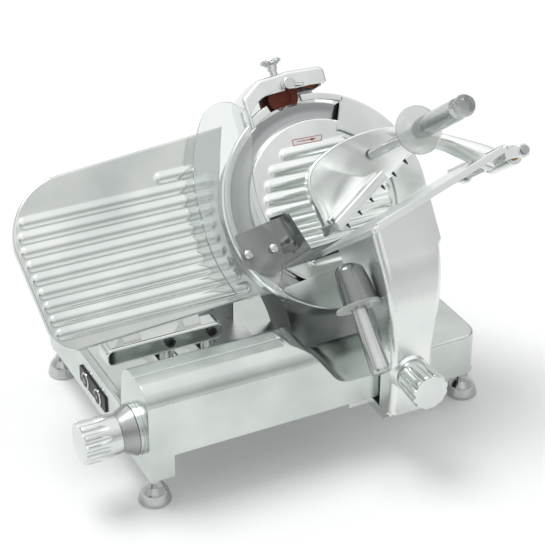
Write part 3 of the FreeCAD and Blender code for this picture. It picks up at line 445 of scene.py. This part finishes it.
def bent_bar(corners, degrees, middle, change=None):
    """Bar bent round the blade's axis: at each angle t the outline's (r, n) points lie at
    r cos t X + r sin t UP + n OUT. Both ends close on a middle point of the outline."""
    outline = soft_profile(corners, 3.0)[:-1]
    t = np.radians(degrees)[:, None]
    r, n = outline[None, :, 0] + 0 * t, outline[None, :, 1] + 0 * t
    if change:
        r, n = change(r, n, degrees[:, None] + 0 * r)
    r = np.vstack([np.full_like(r[:1], middle[0]), r, np.full_like(r[:1], middle[0])])
    n = np.vstack([np.full_like(n[:1], middle[1]), n, np.full_like(n[:1], middle[1])])
    t = np.vstack([t[:1], t, t[-1:]])
    return leaned(r * np.cos(t), r * np.sin(t), n)


def masked(r, n, degrees):
    """Below the blade the mask's inner edge follows a straight chord, -80.9 / (sin t - 0.113 cos t)
    from the hub at the angle t, and there is no rim before its start."""
    t = np.radians(degrees)
    chord = -80.9 / (np.sin(t) - 0.113 * np.cos(t))
    inner = np.where(degrees < -90, np.minimum(chord, rim_in - 1.0), float(mask_in))
    r = np.where(r < rim_in, rim_in - (rim_in - r) * (rim_in - inner) / (rim_in - mask_in), r)
    return r, np.where(degrees < rim_start, np.maximum(n, mask_back), n)


# The right side's rim with its mask, the slim left side, the mask's strip at the top, and the web
# behind the blade that carries the rim.
deep = [(rim_out, -4, 0), (rim_out, mask_front, 2.4), (mask_in, mask_front, 0.8), (mask_in, mask_back, 0.8),
        (rim_in, mask_back, 0.8), (rim_in, -16, 0.8), (rim_out, -16, 0.8), (rim_out, -4, 0)]
slim = [(rim_out, 0, 0), (rim_out, 6, 2.2), (rim_in, 6, 1.2), (rim_in, -6, 1.2), (rim_out, -6, 2.2),
        (rim_out, 0, 0)]
strip = [(rim_out, 10, 0), (rim_out, mask_front, 1.2), (rim_in, mask_front, 0.8), (rim_in, mask_back, 0.5),
         (rim_out, mask_back, 0.5), (rim_out, 10, 0)]
web = [(131, -14, 0), (131, -11, 0), (70, -11, 0), (70, -16, 0), (131, -16, 0), (131, -14, 0)]
surface("blade_ring_guard", [
    bent_bar(deep, np.r_[np.linspace(-134.5, -130.05, 6), np.linspace(rim_start, 66.5, 200)],
             (133.0, 10.2), masked),
    # The slim side ends at the top in a lug that stands 4 mm out.
    bent_bar(slim, np.r_[np.linspace(109, 122, 14), np.linspace(122.1, 231, 110)], (133.0, 0.0),
             lambda r, n, degrees: (np.where((degrees < 122.05) & (r > 133), r + 4, r), n)),
    bent_bar(strip, np.linspace(65.5, 90, 26), (133.0, 10.2)),
    bent_bar(web, np.linspace(rim_start, 118, 150), (100.0, -13.5)),
], ring_metal, "base", ["ring_guard"])


# Sharpener.
# Cast hood over the blade's top with a window to the edge; inside, two small stones on pins,
# set by a chromed lever and pushed in by the tall chromed knob.

# Satin-finished casting: pale, even and softly shining, with worn bright corners.
hood_metal = bare_metal("satin_hood_casting", "#DADEDC", "#ECEFED", 0.24, 0.02, 0.0012, (0.2, 1, 1),
                        0.02, 12.0, lay)
eased("sharpener_housing", hood_metal, "base", 0.0008)
dress(hood_metal, "sharpener_bracket")
# Vitrified abrasive: a brick-red, dead matt stone with visible grit.
grit_red = moulded("vitrified_red_abrasive", "#7A3B30", "#A2584A", 0.9, 0.0004, 0.6)
dress(grit_red, "grinding_stone", "deburring_stone")


def on_plane(x, u, n):
    """One point of the blade's plane in the room."""
    return leaned(np.float64(x), np.float64(u), np.float64(n))


# Stem, collar, trumpet-shaped neck and a flat domed head.
lift = [(0, 0, 0), (5, 0, 0), (5, 22, 0.5), (6.5, 24, 0.5), (6.5, 28, 1.5), (13, 32.2, 1.5),
        (14.2, 33.5, 0.7), (13.4, 35.4, 0.8), (7, 37.3, 3), (0, 37.8, 0)]
surface("tall_lift_knob", [turned(lift, on_plane(-22, 153, 0), up, 96, 2.0)], chrome, "sharpener_knob",
        ["sharpener_knob"])
dress(chrome, "stone_lever")


# Gauge plate.
# Cast aluminium plate, linished over half-round ribs that let the food slide up to the blade;
# its right edge curves round the blade guard.

def bow(first, through, last, count):
    """Arc through three points: the circle whose centre is as far from each."""
    (ax, ay), (bx, by), (cx, cy) = first, through, last
    d = 2 * (ax * (by - cy) + bx * (cy - ay) + cx * (ay - by))
    sa, sb, sc = ax * ax + ay * ay, bx * bx + by * by, cx * cx + cy * cy
    px = (sa * (by - cy) + sb * (cy - ay) + sc * (ay - by)) / d
    py = (sa * (cx - bx) + sb * (ax - cx) + sc * (bx - ax)) / d
    t = np.unwrap([math.atan2(y - py, x - px) for x, y in (first, through, last)])
    t = np.interp(np.linspace(0, 1, count), [0, (t[1] - t[0]) / (t[2] - t[0]), 1], t)
    radius = math.hypot(ax - px, ay - py)
    return np.stack([px + radius * np.cos(t), py + radius * np.sin(t)], 1)


left_edge = np.vstack([bow((-352, -101.5), (-376.7, -90.7), (-386.5, -69.5), 24),
                       bow((-400, 26), (-376.6, 82.6), (-326, 105.5), 40)])
right_edge = np.vstack([bow((-109.6, -90.3), (-142, 0), (-137.2, 36.8), 60), [(-108, 121)]])


def crowded(count, share):
    """Steps from 0 to 1 that crowd at both ends: a share of half a cosine wave and the rest even."""
    return share * (1 - np.cos(np.linspace(0, math.pi, count))) / 2 + (1 - share) * np.linspace(0, 1, count)


rise, across = crowded(216, 0.5), crowded(190, 0.6)


def along_chain(line, share):
    """Point of a chain whose height is the given share of the chain's rise."""
    height = line[0, 1] + share * (line[-1, 1] - line[0, 1])
    return np.stack([np.interp(height, line[:, 1], line[:, 0]), height], 1)


left_at, right_at = along_chain(left_edge, rise)[:, None], along_chain(right_edge, rise)[:, None]
sheet = left_at + across[None, :, None] * (right_at - left_at)
border = np.vstack([left_edge, right_edge[::-1], left_edge[:1]])


def from_border(points, line):
    """Distance of each point to the nearest stretch of a closed line."""
    best = np.full(points.shape[:2], 99.0)
    for here, there in zip(line[:-1], line[1:]):
        run = there - here
        share = np.clip(((points - here) @ run) / max(run @ run, 1e-9), 0, 1)
        best = np.minimum(best, np.linalg.norm(points - here - share[..., None] * run, axis=-1))
    return best


# Nine long ribs end at the right on the blade's circle and at the left beside the plate's edge,
# above row 26 along its 80 mm corner; a short one lies over them.
bend_row, corner_r, edge_r = 26, 80, 2.5
gauge_rows = []
for row in rib_pitch * np.arange(9) - 78:
    if row > bend_row:
        start = -308 - math.sqrt(corner_r ** 2 - (row - bend_row) ** 2)
    else:
        start = -388 + 0.14 * (bend_row - row) - 0.05 * min(row + 60, 0)
    gauge_rows.append((row, start, -math.sqrt(157 ** 2 - row ** 2)))
gauge_rows.append((75.0, -204.0, -164.0))
depth = np.minimum(from_border(sheet, border), edge_r)
rounded = np.sqrt(edge_r ** 2 - (edge_r - depth) ** 2) - edge_r
front = rib_swell(sheet[..., 0], sheet[..., 1], gauge_rows) + rounded
back = np.full_like(front, -8.0)
x = np.concatenate([sheet[..., 0], sheet[:, ::-1, 0]], 1)
u = np.concatenate([sheet[..., 1], sheet[:, ::-1, 1]], 1)
n = np.concatenate([front, back], 1)
x, u = np.vstack([x[:1], x, x[-1:]]), np.vstack([u[:1], u, u[-1:]])
n = np.vstack([np.full_like(n[:1], -5.0), n, np.full_like(n[:1], -5.0)])
# Linished and polished casting: brighter than the base, with clear dark and light lines along
# each rib where it mirrors the room, and cloudy tones on the bare strips.
gauge_metal = bare_metal("linished_gauge_plate", "#C6CCC9", "#E6EAE7", 0.16, 0.03, 0.0010, (0.06, 1, 1),
                         0.01, 8.0, lay)
surface("ribbed_gauge_plate", [leaned(x, u, n)], gauge_metal, "gauge",
        ["gauge_plate"], 60.0)
eased("gauge_bar", gauge_metal, "gauge", 0.0008)
dress(chrome, "gauge_posts")
dress(moulded_black, "gauge_screws")


# Thickness dial.
# Turned and polished knob with milled finger grooves, pinned to the spindle in front of a
# bevelled ring with a satin turned face.

def grooved(count, reach, depth, near, full, wide=1.6):
    """Carves finger grooves: capsules of radius g = wide x depth, centred at C = reach + g - cut,
    leave a radius of C cos d - sqrt(g2 - C2 sin2 d) at an angle d from their middle. The cut grows
    from nothing at the height near to its whole depth at full, and a smooth minimum of 0.25 mm
    rounds the groove's edges."""
    def carve(x, y, z):
        r, t = np.hypot(x, y), np.arctan2(y, x)
        d = (t + math.pi / count) % (2 * math.pi / count) - math.pi / count
        g = wide * depth
        cut = depth * np.sin(np.clip((z - near) / (full - near), 0, 1) * math.pi / 2)
        middle = reach + g - cut
        left = g * g - (middle * np.sin(d)) ** 2
        floor = np.where((left > 0) & (z > near), middle * np.cos(d) - np.sqrt(np.clip(left, 0, None)), 1e3)
        small = 0.25
        gap = np.clip((floor - r) / small, -30, 30)
        new = np.where(r > 0.6 * reach, r - small * np.log1p(np.exp(-gap)), r)
        return x * new / np.maximum(r, 1e-9), y * new / np.maximum(r, 1e-9), z
    return carve


dial = [(0, 0, 0), (23.6, 0, 0), (24.2, 0.8, 0.5), (26.2, 30, 20), (26.2, 45.5, 5.5), (19, 46, 3),
        (0, 45.6, 0)]
# Polished turned aluminium: bright, with a crisp dark line down each groove.
knob_metal = bare_metal("polished_turned_knob", "#D2D6D4", "#E8EBE9", 0.20, 0.05, 0.0012, (0.3, 1, 1),
                        0.02, 14.0)
surface("thickness_dial_knob", [turned(dial, (-250, -90, 93), leftward, 360, 1.0,
                                       grooved(12, 26.2, 3.2, 7.0, 30.0))],
        knob_metal, "thickness_dial", ["thickness_knob"])
# Satin turned aluminium: a mid grey that sets the bright knob off, with blurred reflections.
scale_metal = bare_metal("satin_scale_ring", "#9B9D9D", "#B4B6B6", 0.30, 0.05, 0.0008, (1, 0.3, 1),
                         0.03, 14.0)
bevel = [(0, 0, 0), (30.8, 0, 0.4), (30.8, 1.2, 0.6), (22.6, 17.6, 0.3), (0, 17.6, 0)]
surface("dial_scale_ring", [turned(bevel, (-232.4, -90, 93), leftward, 180)], scale_metal,
        "thickness_dial", ["scale_ring"])


# Carriage.
# Cast arm on a slide bush, tilted cast tray with a finely knurled floor, a mirror-polished guard
# plate, a clear hand guard and a grip to push it all past the blade.

# Satin-finished casting: pale and even, its broad face blurring the room into one soft gradient.
arm_metal = bare_metal("satin_carriage_casting", "#DDE1DF", "#F0F3F1", 0.30, 0.05, 0.0013,
                       (1, 0.3, 0.3), 0.02, 9.0, lay)
eased("carriage_arm", arm_metal, "carriage", 0.0006, 40.0)
dress(ground_steel, "pusher_rod")
tray_slope = math.radians(16)
tray_lay = (Matrix.Rotation(math.pi / 2 - lean, 3, "X") @ Matrix.Rotation(tray_slope, 3, "Z")).to_euler()
# Satin casting with a rolled diamond knurl: nearly white, with a fine glitter where food slides.
tray_metal = bare_metal("knurled_tray_casting", "#E4E8E6", "#F1F3F2", 0.32, 0.05, 0.0013, lift=0.03)
tree = tray_metal.node_tree
spot = add(tree, "Mapping", {"vector_type": "TEXTURE", "Location": tuple(hub * mm), "Rotation": tray_lay},
           Vector=add(tree, "TexCoord").outputs["Object"]).outputs["Vector"]
height = None
for turn in (45, 135):
    # The knurl's rows are 1.2 mm apart; drawn at 2.4 mm, which is a wave's pi / 10 / scale, so
    # that the diamonds show.
    slant = add(tree, "VectorRotate", {"rotation_type": "Y_AXIS", "Angle": math.radians(turn)}, Vector=spot)
    wave = add(tree, "TexWave", {"wave_type": "BANDS", "bands_direction": "X", "Scale": 131.0},
               Vector=slant.outputs["Vector"])
    height = wave.outputs["Fac"] if height is None else add(
        tree, "Math", {"operation": "MAXIMUM"}, _0=height, _1=wave.outputs["Fac"]).outputs["Value"]
grain = next(node for node in tree.nodes if node.type == "BUMP").outputs["Normal"]
knurl = add(tree, "Bump", {"Strength": 0.25, "Distance": 0.0003}, Height=height, Normal=grain)
tree.links.new(knurl.outputs["Normal"], tree.nodes["Principled BSDF"].inputs["Normal"])
eased("carriage_tray", tray_metal, "carriage", 0.0009)
# Sintered bronze: warm brown, oil-dark in its pores and only half bright.
bronze = bare_metal("sintered_bronze", "#A47C4A", "#BD9560", 0.36, 0.06, 0.0008)
dress(bronze, "slide_bush", "pusher_sleeve")

# Mirror-polished stainless sheet, its colour painted dark as a painted reflection of the blade's shadow side,
# with sharp reflections that faint wiping marks break up.
mirror = bare_metal("mirror_stainless_painted_shade", "#7E8181", "#909393", 0.07, 0.025, 0.002, (0.1, 1, 1),
                    0.02, 20.0, lay)
guard_line = [(-135.4, -15), (-60.8, -4), (-43.5, -55), (10, -48), (14, -60), (-31.5, -66), (-84.7, -69.3),
              (-104, -72.8), (-118, -66.5), (-136.5, -56)]
guard_back, guard_face = 13.0, 16.0
plate = surface("mirror_guard_plate", [prism(guard_line, guard_back, guard_face, np.array([-50.0, -60.0]))],
                mirror, "carriage", ["guard_plate"], 20.0)
edge = plate.modifiers.new("dressed_edge", "BEVEL")
edge.width, edge.segments, edge.limit_method = 0.0006, 2, "ANGLE"


def clear(name, tint, rough, through):
    """Clear acrylic: the share of light that goes through, a faint tint for the haze that fine wear
    leaves in the rest, and polish marks, about 4 mm long, in its roughness."""
    material = bpy.data.materials.new(name)
    material.use_nodes = True
    tree = material.node_tree
    shader = tree.nodes["Principled BSDF"]
    shader.inputs["Base Color"].default_value = linear(tint)
    shader.inputs["Transmission Weight"].default_value = through
    shader.inputs["IOR"].default_value = 1.49
    place = add(tree, "TexCoord").outputs["Object"]
    marks = add(tree, "TexNoise", {"Scale": 260.0, "Detail": 3.0}, Vector=place).outputs["Fac"]
    gloss = add(tree, "MapRange", {3: rough, 4: rough + 0.05}, Value=marks).outputs["Result"]
    tree.links.new(gloss, shader.inputs["Roughness"])
    return material


# Cast acrylic sheet: glass-clear with a bright edge, and a faint haze over what lies behind it.
acrylic = clear("clear_cast_acrylic", "#F7FAF9", 0.02, 0.88)
# Turned acrylic, handled for years: milky grey, so that its discs read as solid from afar.
worn_acrylic = clear("worn_turned_acrylic", "#E9ECEA", 0.05, 0.62)
eased("hand_guard", acrylic, "carriage", 0.0005)
head = [(0, 0, 0), (2.4, 0, 0), (2.4, 4, 0), (5.5, 4, 0.3), (5.5, 5.6, 0.9), (3.4, 7, 1.2),
        (1.6, 7.2, 0.2), (1.6, 6.0, 0.1), (0, 6.0, 0)]
screws_at = [(-128.6, -42), (-94, -42)]
surface("domed_guard_screws", [turned(head, on_plane(x, u, guard_face), out, 48, 1.5) for x, u in screws_at],
        chrome, "carriage", ["guard_screws"])

# The push handle: a grip, a disc that keeps the fingers off, and a stub screwed to the arm, all
# on one axis that leans back by 46 degrees.
tilt = np.array([0, math.sin(math.radians(46)), math.cos(math.radians(46))])
handle_at = (42, -129, 205)
# Satin turned aluminium: mid grey, with a long highlight down the grip and fine turning marks.
grip_metal = bare_metal("satin_turned_grip", "#B4B7B6", "#CACDCB", 0.20, 0.05, 0.0009, (1, 0.2, 1),
                        0.02, 16.0)
push_grip = [(0, -83, 0), (9, -83, 0.6), (12, -81.5, 1.2), (12.5, -78, 3), (9.6, -8, 2), (9.5, -2, 0),
             (0, -2, 0)]
surface("push_grip", [turned(push_grip, handle_at, tilt, 96, 3.0)], grip_metal, "carriage",
        ["push_handle_grip"])
finger_disc = [(0, -2, 0), (27, -2, 1.2), (27, 2, 1.2), (0, 2, 0)]
surface("push_finger_disc", [turned(finger_disc, handle_at, tilt, 128, 3.0)], worn_acrylic, "carriage",
        ["push_handle_disc"])
stub = [(0, 2, 0), (16.5, 2, 1), (15.5, 30, 20), (13.5, 46, 9), (7, 52, 4), (0, 53, 0)]
# The stub shares the column's polished metal, whose dark colour is painted shade.
surface("push_handle_stub", [turned(stub, handle_at, tilt, 128, 3.0,
                                    carve=lambda x, y, z: (np.where(x < 0, 1.62 * x, x), y, z))],
        polished, "carriage", ["push_handle_block"])

lock = [(0, 0, 0), (6, 0, 0), (6, 21.4, 0), (16, 21.4, 0.5), (16, 24.5, 0.8), (21.6, 26, 1.5),
        (23.4, 60, 0), (23.4, 64.8, 3), (17, 64.9, 3), (0, 64.6, 0)]
# The knob that locks the tray's arm, screwed into it from the front.
surface("lock_knob_turned", [turned(lock, (93, -151, 121), (0, -1, 0), 360, 1.0,
                                    grooved(12, 23.2, 2.3, 27.0, 40.0))],
        knob_metal, "lock_knob", ["lock_knob"])


# Pusher.
# Cast pusher that holds the food on the tray: a dished plate with a toothed flange runs through a
# swan neck to its hub on the rod; a grip with a clear hand disc and end ball swings and slides it.

# Satin-finished casting: nearly white, with the dish's hollow shading softly into grey.
pusher_metal = bare_metal("satin_pusher_casting", "#DCE0DE", "#EFF2F0", 0.24, 0.02, 0.0013, (0.3, 1, 1),
                          0.01, 9.0, lay)
# (across, up, out) points of the lower and the upper edge, from the dish's foot to the neck's end.
dish_low = [(-42, -47, 76), (-20, -33.8, 76), (4, -19.4, 76), (26, -6.2, 76), (42, 1, 76), (58, 4, 77),
            (76, 15, 79), (94, 26, 82), (112, 29, 88), (130, 21, 97), (144, 8, 105), (158, -6, 112),
            (176, -20, 118)]
dish_high = [(-43, -44, 76), (-46.2, -20, 76), (-50.5, -2, 76), (-51.8, 14, 76), (-48.4, 27, 76),
             (-38, 40, 76), (-20, 50.5, 76), (4, 59.5, 76), (34, 65, 76), (64, 66, 77), (92, 60.5, 80),
             (120, 48, 90), (146, 31, 103), (172, 15, 112), (198, -2, 118)]


def smooth_chain(points, share):
    """Catmull-Rom curve through points, read at shares of its length: on each stretch a cubic whose
    slope at a point is half the way between its two neighbours."""
    p = np.array(points, float)
    p = np.vstack([2 * p[0] - p[1], p, 2 * p[-1] - p[-2]])
    place = np.asarray(share) * (len(points) - 1)
    k = np.minimum(place.astype(int), len(points) - 2)
    f = (place - k)[:, None]
    a, b, c, d = p[k], p[k + 1], p[k + 2], p[k + 3]
    return 0.5 * (2 * b + (c - a) * f + (2 * a - 5 * b + 4 * c - d) * f ** 2
                  + (3 * b - a - 3 * c + d) * f ** 3)


# The front face hollows by 11 mm in the dish and swells by 7 mm in the neck, which is also thicker,
# and its edges are rounded. The back is flat where it may come near the blade's cover.
share = np.linspace(0, 1, 240)
low, high = smooth_chain(dish_low, share)[:, None], smooth_chain(dish_high, share)[:, None]
t = crowded(72, 1.0)[None, :, None]
skin = low + t * (high - low)
inset = np.minimum(np.linalg.norm(skin - low, axis=-1), np.linalg.norm(skin - high, axis=-1))
hollow = 11.0 * np.sin(math.pi * t[..., 0]) ** 0.9 * np.clip((0.66 - share) / 0.3, 0, 1)[:, None]
swell = 7.0 * np.sin(math.pi * t[..., 0]) * np.clip((share - 0.62) / 0.2, 0, 1)[:, None]
round_edge, dish_thick, nearest_back = 3.5, 13.0, 58.0
rounded = np.sqrt(round_edge ** 2 - (round_edge - np.minimum(inset, round_edge)) ** 2) - round_edge
near = skin[..., 2] - hollow + swell + rounded
thick = dish_thick + 3 * np.clip((share - 0.6) / 0.2, 0, 1)[:, None] + swell
far = np.maximum(skin[..., 2] - hollow - thick, nearest_back)
x = np.concatenate([skin[..., 0], skin[:, ::-1, 0]], 1)
u = np.concatenate([skin[..., 1], skin[:, ::-1, 1]], 1)
n = np.concatenate([near, far[:, ::-1]], 1)
# Each end closes on its own middle.
x, u, n = (np.vstack([v[:1] * 0 + v[:1].mean(), v, v[-1:] * 0 + v[-1:].mean()]) for v in (x, u, n))


def flange_bar(start, end, b0, b1, n0, n1, soft):
    """Round-edged bar of the toothed flange: a rectangle of thickness b and height n carried along
    the flange's 31 degree slope from the dish's foot, closed at both ends on its middle."""
    loop = soft_profile([(b0, n0 + 5, 0), (b0, n0, soft), (b1, n0, soft), (b1, n1, soft), (b0, n1, soft),
                         (b0, n0 + 5, 0)], 6.0)[:-1]
    middle = loop * 0 + loop.mean(axis=0)
    small = (loop - loop.mean(axis=0)) * 0.82 + loop.mean(axis=0)
    rows = [(start, middle), (start, small), (start + soft, loop), (end - soft, loop), (end, small),
            (end, middle)]
    c, d = math.cos(math.radians(31)), math.sin(math.radians(31))
    foot_x, foot_u = -42, -47
    return np.stack([leaned(foot_x + a * c - p[:, 0] * d, foot_u + a * d + p[:, 0] * c, p[:, 1])
                     for a, p in rows])


neck_hub = [(7.2, 92, 0), (12.5, 92, 1), (12.5, 150, 1), (7.2, 150, 0), (7.2, 92, 0)]
# The dish with its neck, the hub on the rod, the flange and two ledges along it.
surface("dished_pusher", [leaned(x, u, n), turned(neck_hub, on_plane(187, -12, 0), out, 96, 6.0),
                          flange_bar(0, 92, 0, 12, 63, 110, 1.2), flange_bar(4, 86, 11, 17, 84, 93, 1.5),
                          flange_bar(4, 86, 11, 17, 98, 107, 1.5)],
        pusher_metal, "pusher", ["pusher"])
dress(moulded_black, "pusher_spikes")
grip_at = on_plane(42, 36, 0)
rod = [(0, 76, 0), (6.5, 76, 0), (6.5, 202, 0), (0, 202, 0)]
surface("pusher_grip_rod", [turned(rod, grip_at, out, 64, 6.0)], chrome, "pusher",
        ["pusher_handle_rod"])
wide_disc = [(0, 202, 0), (29, 202, 1.2), (29, 206, 1.2), (0, 206, 0)]
surface("pusher_hand_disc", [turned(wide_disc, grip_at, out, 128, 3.0)], worn_acrylic, "pusher",
        ["pusher_handle_disc"])
long_grip = [(0, 206, 0), (10, 206, 0), (10, 210, 3), (12.5, 215, 5), (12.5, 305, 6), (10.5, 311, 0),
             (0, 311, 0)]
surface("pusher_hand_grip", [turned(long_grip, grip_at, out, 96, 3.0)], grip_metal, "pusher",
        ["pusher_handle_grip"])
ball = [(0, 311, 0), (9, 311, 0), (13.5, 319, 6), (9.5, 327, 4), (6, 329.4, 3), (0, 330, 0)]
surface("pusher_end_ball", [turned(ball, grip_at, out, 96, 1.5)], acrylic, "pusher",
        ["pusher_handle_ball"])


# Studio.
# Seamless pale floor and an even, bright tent; dark panels in it give the polished metal its
# edges, and one soft lamp from the upper left draws the shadow.
half_floor = 9
floor_mesh = bpy.data.meshes.new("studio_floor")
corners = [(-half_floor, -half_floor, 0), (half_floor, -half_floor, 0), (half_floor, half_floor, 0),
           (-half_floor, half_floor, 0)]
floor_mesh.from_pydata(corners, [], [(0, 1, 2, 3)])
floor = bpy.data.objects.new("studio_floor", floor_mesh)
bpy.context.scene.collection.objects.link(floor)
# Matt paper sweep: white with a faint fibre, and a slight glow of its own for the camera, mirrors
# and clear plastic, so that it reads as white and still holds the shadow.
paper = bpy.data.materials.new("matt_paper_sweep")
paper.use_nodes = True
tree = paper.node_tree
tree.nodes.remove(tree.nodes["Principled BSDF"])
fibre = add(tree, "TexNoise", {"Scale": 900.0}, Vector=add(tree, "TexCoord").outputs["Object"])
tone = add(tree, "ValToRGB", Fac=fibre.outputs["Fac"])
tone.color_ramp.elements[0].color = linear("#F2F4F3")
tone.color_ramp.elements[1].color = linear("#F8F9F8")
matt = add(tree, "BsdfDiffuse", Color=tone.outputs["Color"]).outputs["BSDF"]
rays = add(tree, "LightPath").outputs
seen = add(tree, "Math", {"operation": "MAXIMUM"}, _0=rays["Is Camera Ray"], _1=rays["Is Glossy Ray"])
seen = add(tree, "Math", {"operation": "MAXIMUM"}, _0=seen.outputs["Value"], _1=rays["Is Transmission Ray"])
power = add(tree, "Math", {"operation": "MULTIPLY", 1: 0.12}, _0=seen.outputs["Value"]).outputs["Value"]
glow = add(tree, "Emission", Strength=power).outputs["Emission"]
both = add(tree, "AddShader", _0=matt, _1=glow).outputs["Shader"]
tree.links.new(both, tree.nodes["Material Output"].inputs["Surface"])
floor_mesh.materials.append(paper)

world = bpy.data.worlds.new("white_tent")
bpy.context.scene.world = world
world.use_nodes = True
tree = world.node_tree
spot = add(tree, "TexCoord").outputs["Generated"]
way = add(tree, "VectorMath", {"operation": "NORMALIZE"}, _0=spot).outputs["Vector"]
tall = add(tree, "SeparateXYZ", Vector=way).outputs["Z"]
bands = add(tree, "ValToRGB", Fac=tall)
# The tent's brightness by height, as (sine of the angle above the floor, level).
stops = ((0.0, 0.40), (0.14, 0.95), (0.28, 0.50), (0.42, 0.66), (0.58, 1.0), (0.76, 1.12), (1.0, 1.15))
for k, (place, grey) in enumerate(stops):
    stop = bands.color_ramp.elements[k] if k < 2 else bands.color_ramp.elements.new(place)
    stop.position, stop.color = place, (grey, grey, grey, 1)
level = add(tree, "SeparateColor", Color=bands.outputs["Color"]).outputs["Red"]
# Soft-edged round panels in it, as (direction, dark out to, bright from, level): the first two
# angles are in degrees from the panel's middle.
panels = (((0.39, -0.70, 0.60), 9, 24, 0.80), ((-0.80, -0.50, 0.30), 8, 18, 0.45),
          ((0.93, 0.10, 0.35), 8, 20, 0.45), ((0.05, 0.86, 0.50), 6, 16, 0.55))
for toward, inner, outer, dark in panels:
    panel = Vector(toward).normalized()
    near = add(tree, "VectorMath", {"operation": "DOT_PRODUCT", 1: tuple(panel)}, _0=way).outputs["Value"]
    shade = add(tree, "MapRange", {"interpolation_type": "SMOOTHSTEP", 1: math.cos(math.radians(outer)),
                                   2: math.cos(math.radians(inner)), 3: 1.0, 4: dark},
                Value=near).outputs["Result"]
    level = add(tree, "Math", {"operation": "MULTIPLY"}, _0=level, _1=shade).outputs["Value"]
rays = add(tree, "LightPath").outputs
mirrored = add(tree, "Math", {"operation": "MAXIMUM"}, _0=rays["Is Glossy Ray"],
               _1=rays["Is Transmission Ray"])
# Matt surfaces get an even 0.57, mirrors and clear plastic the bands and panels, the camera white.
level = add(tree, "Mix", {"data_type": "FLOAT", 2: 0.57}, Factor=mirrored.outputs["Value"],
            B=level).outputs["Result"]
level = add(tree, "Mix", {"data_type": "FLOAT", "B": 1.0}, Factor=rays["Is Camera Ray"],
            A=level).outputs["Result"]
tree.nodes["Background"].inputs["Color"].default_value = (1, 1, 1, 1)
tree.links.new(level, tree.nodes["Background"].inputs["Strength"])

lamp_data = bpy.data.lights.new("soft_key", "SUN")
lamp_data.energy, lamp_data.angle = 1.45, math.radians(34)
lamp = bpy.data.objects.new("soft_key", lamp_data)
lamp.rotation_euler = Vector((0.20, -0.27, -0.94)).to_track_quat("-Z", "Y").to_euler()
bpy.context.scene.collection.objects.link(lamp)

camera_data = bpy.data.cameras.new("camera")
camera_data.lens, camera_data.sensor_width = 116.1, 36.0
camera = bpy.data.objects.new("camera", camera_data)
camera.location = (-0.8266, -1.6396, 1.2760)
camera.rotation_euler = Vector((0.386, 0.770, -0.5075)).to_track_quat("-Z", "Y").to_euler()
bpy.context.scene.collection.objects.link(camera)
bpy.context.scene.camera = camera
bpy.context.scene.view_settings.view_transform = "Standard"
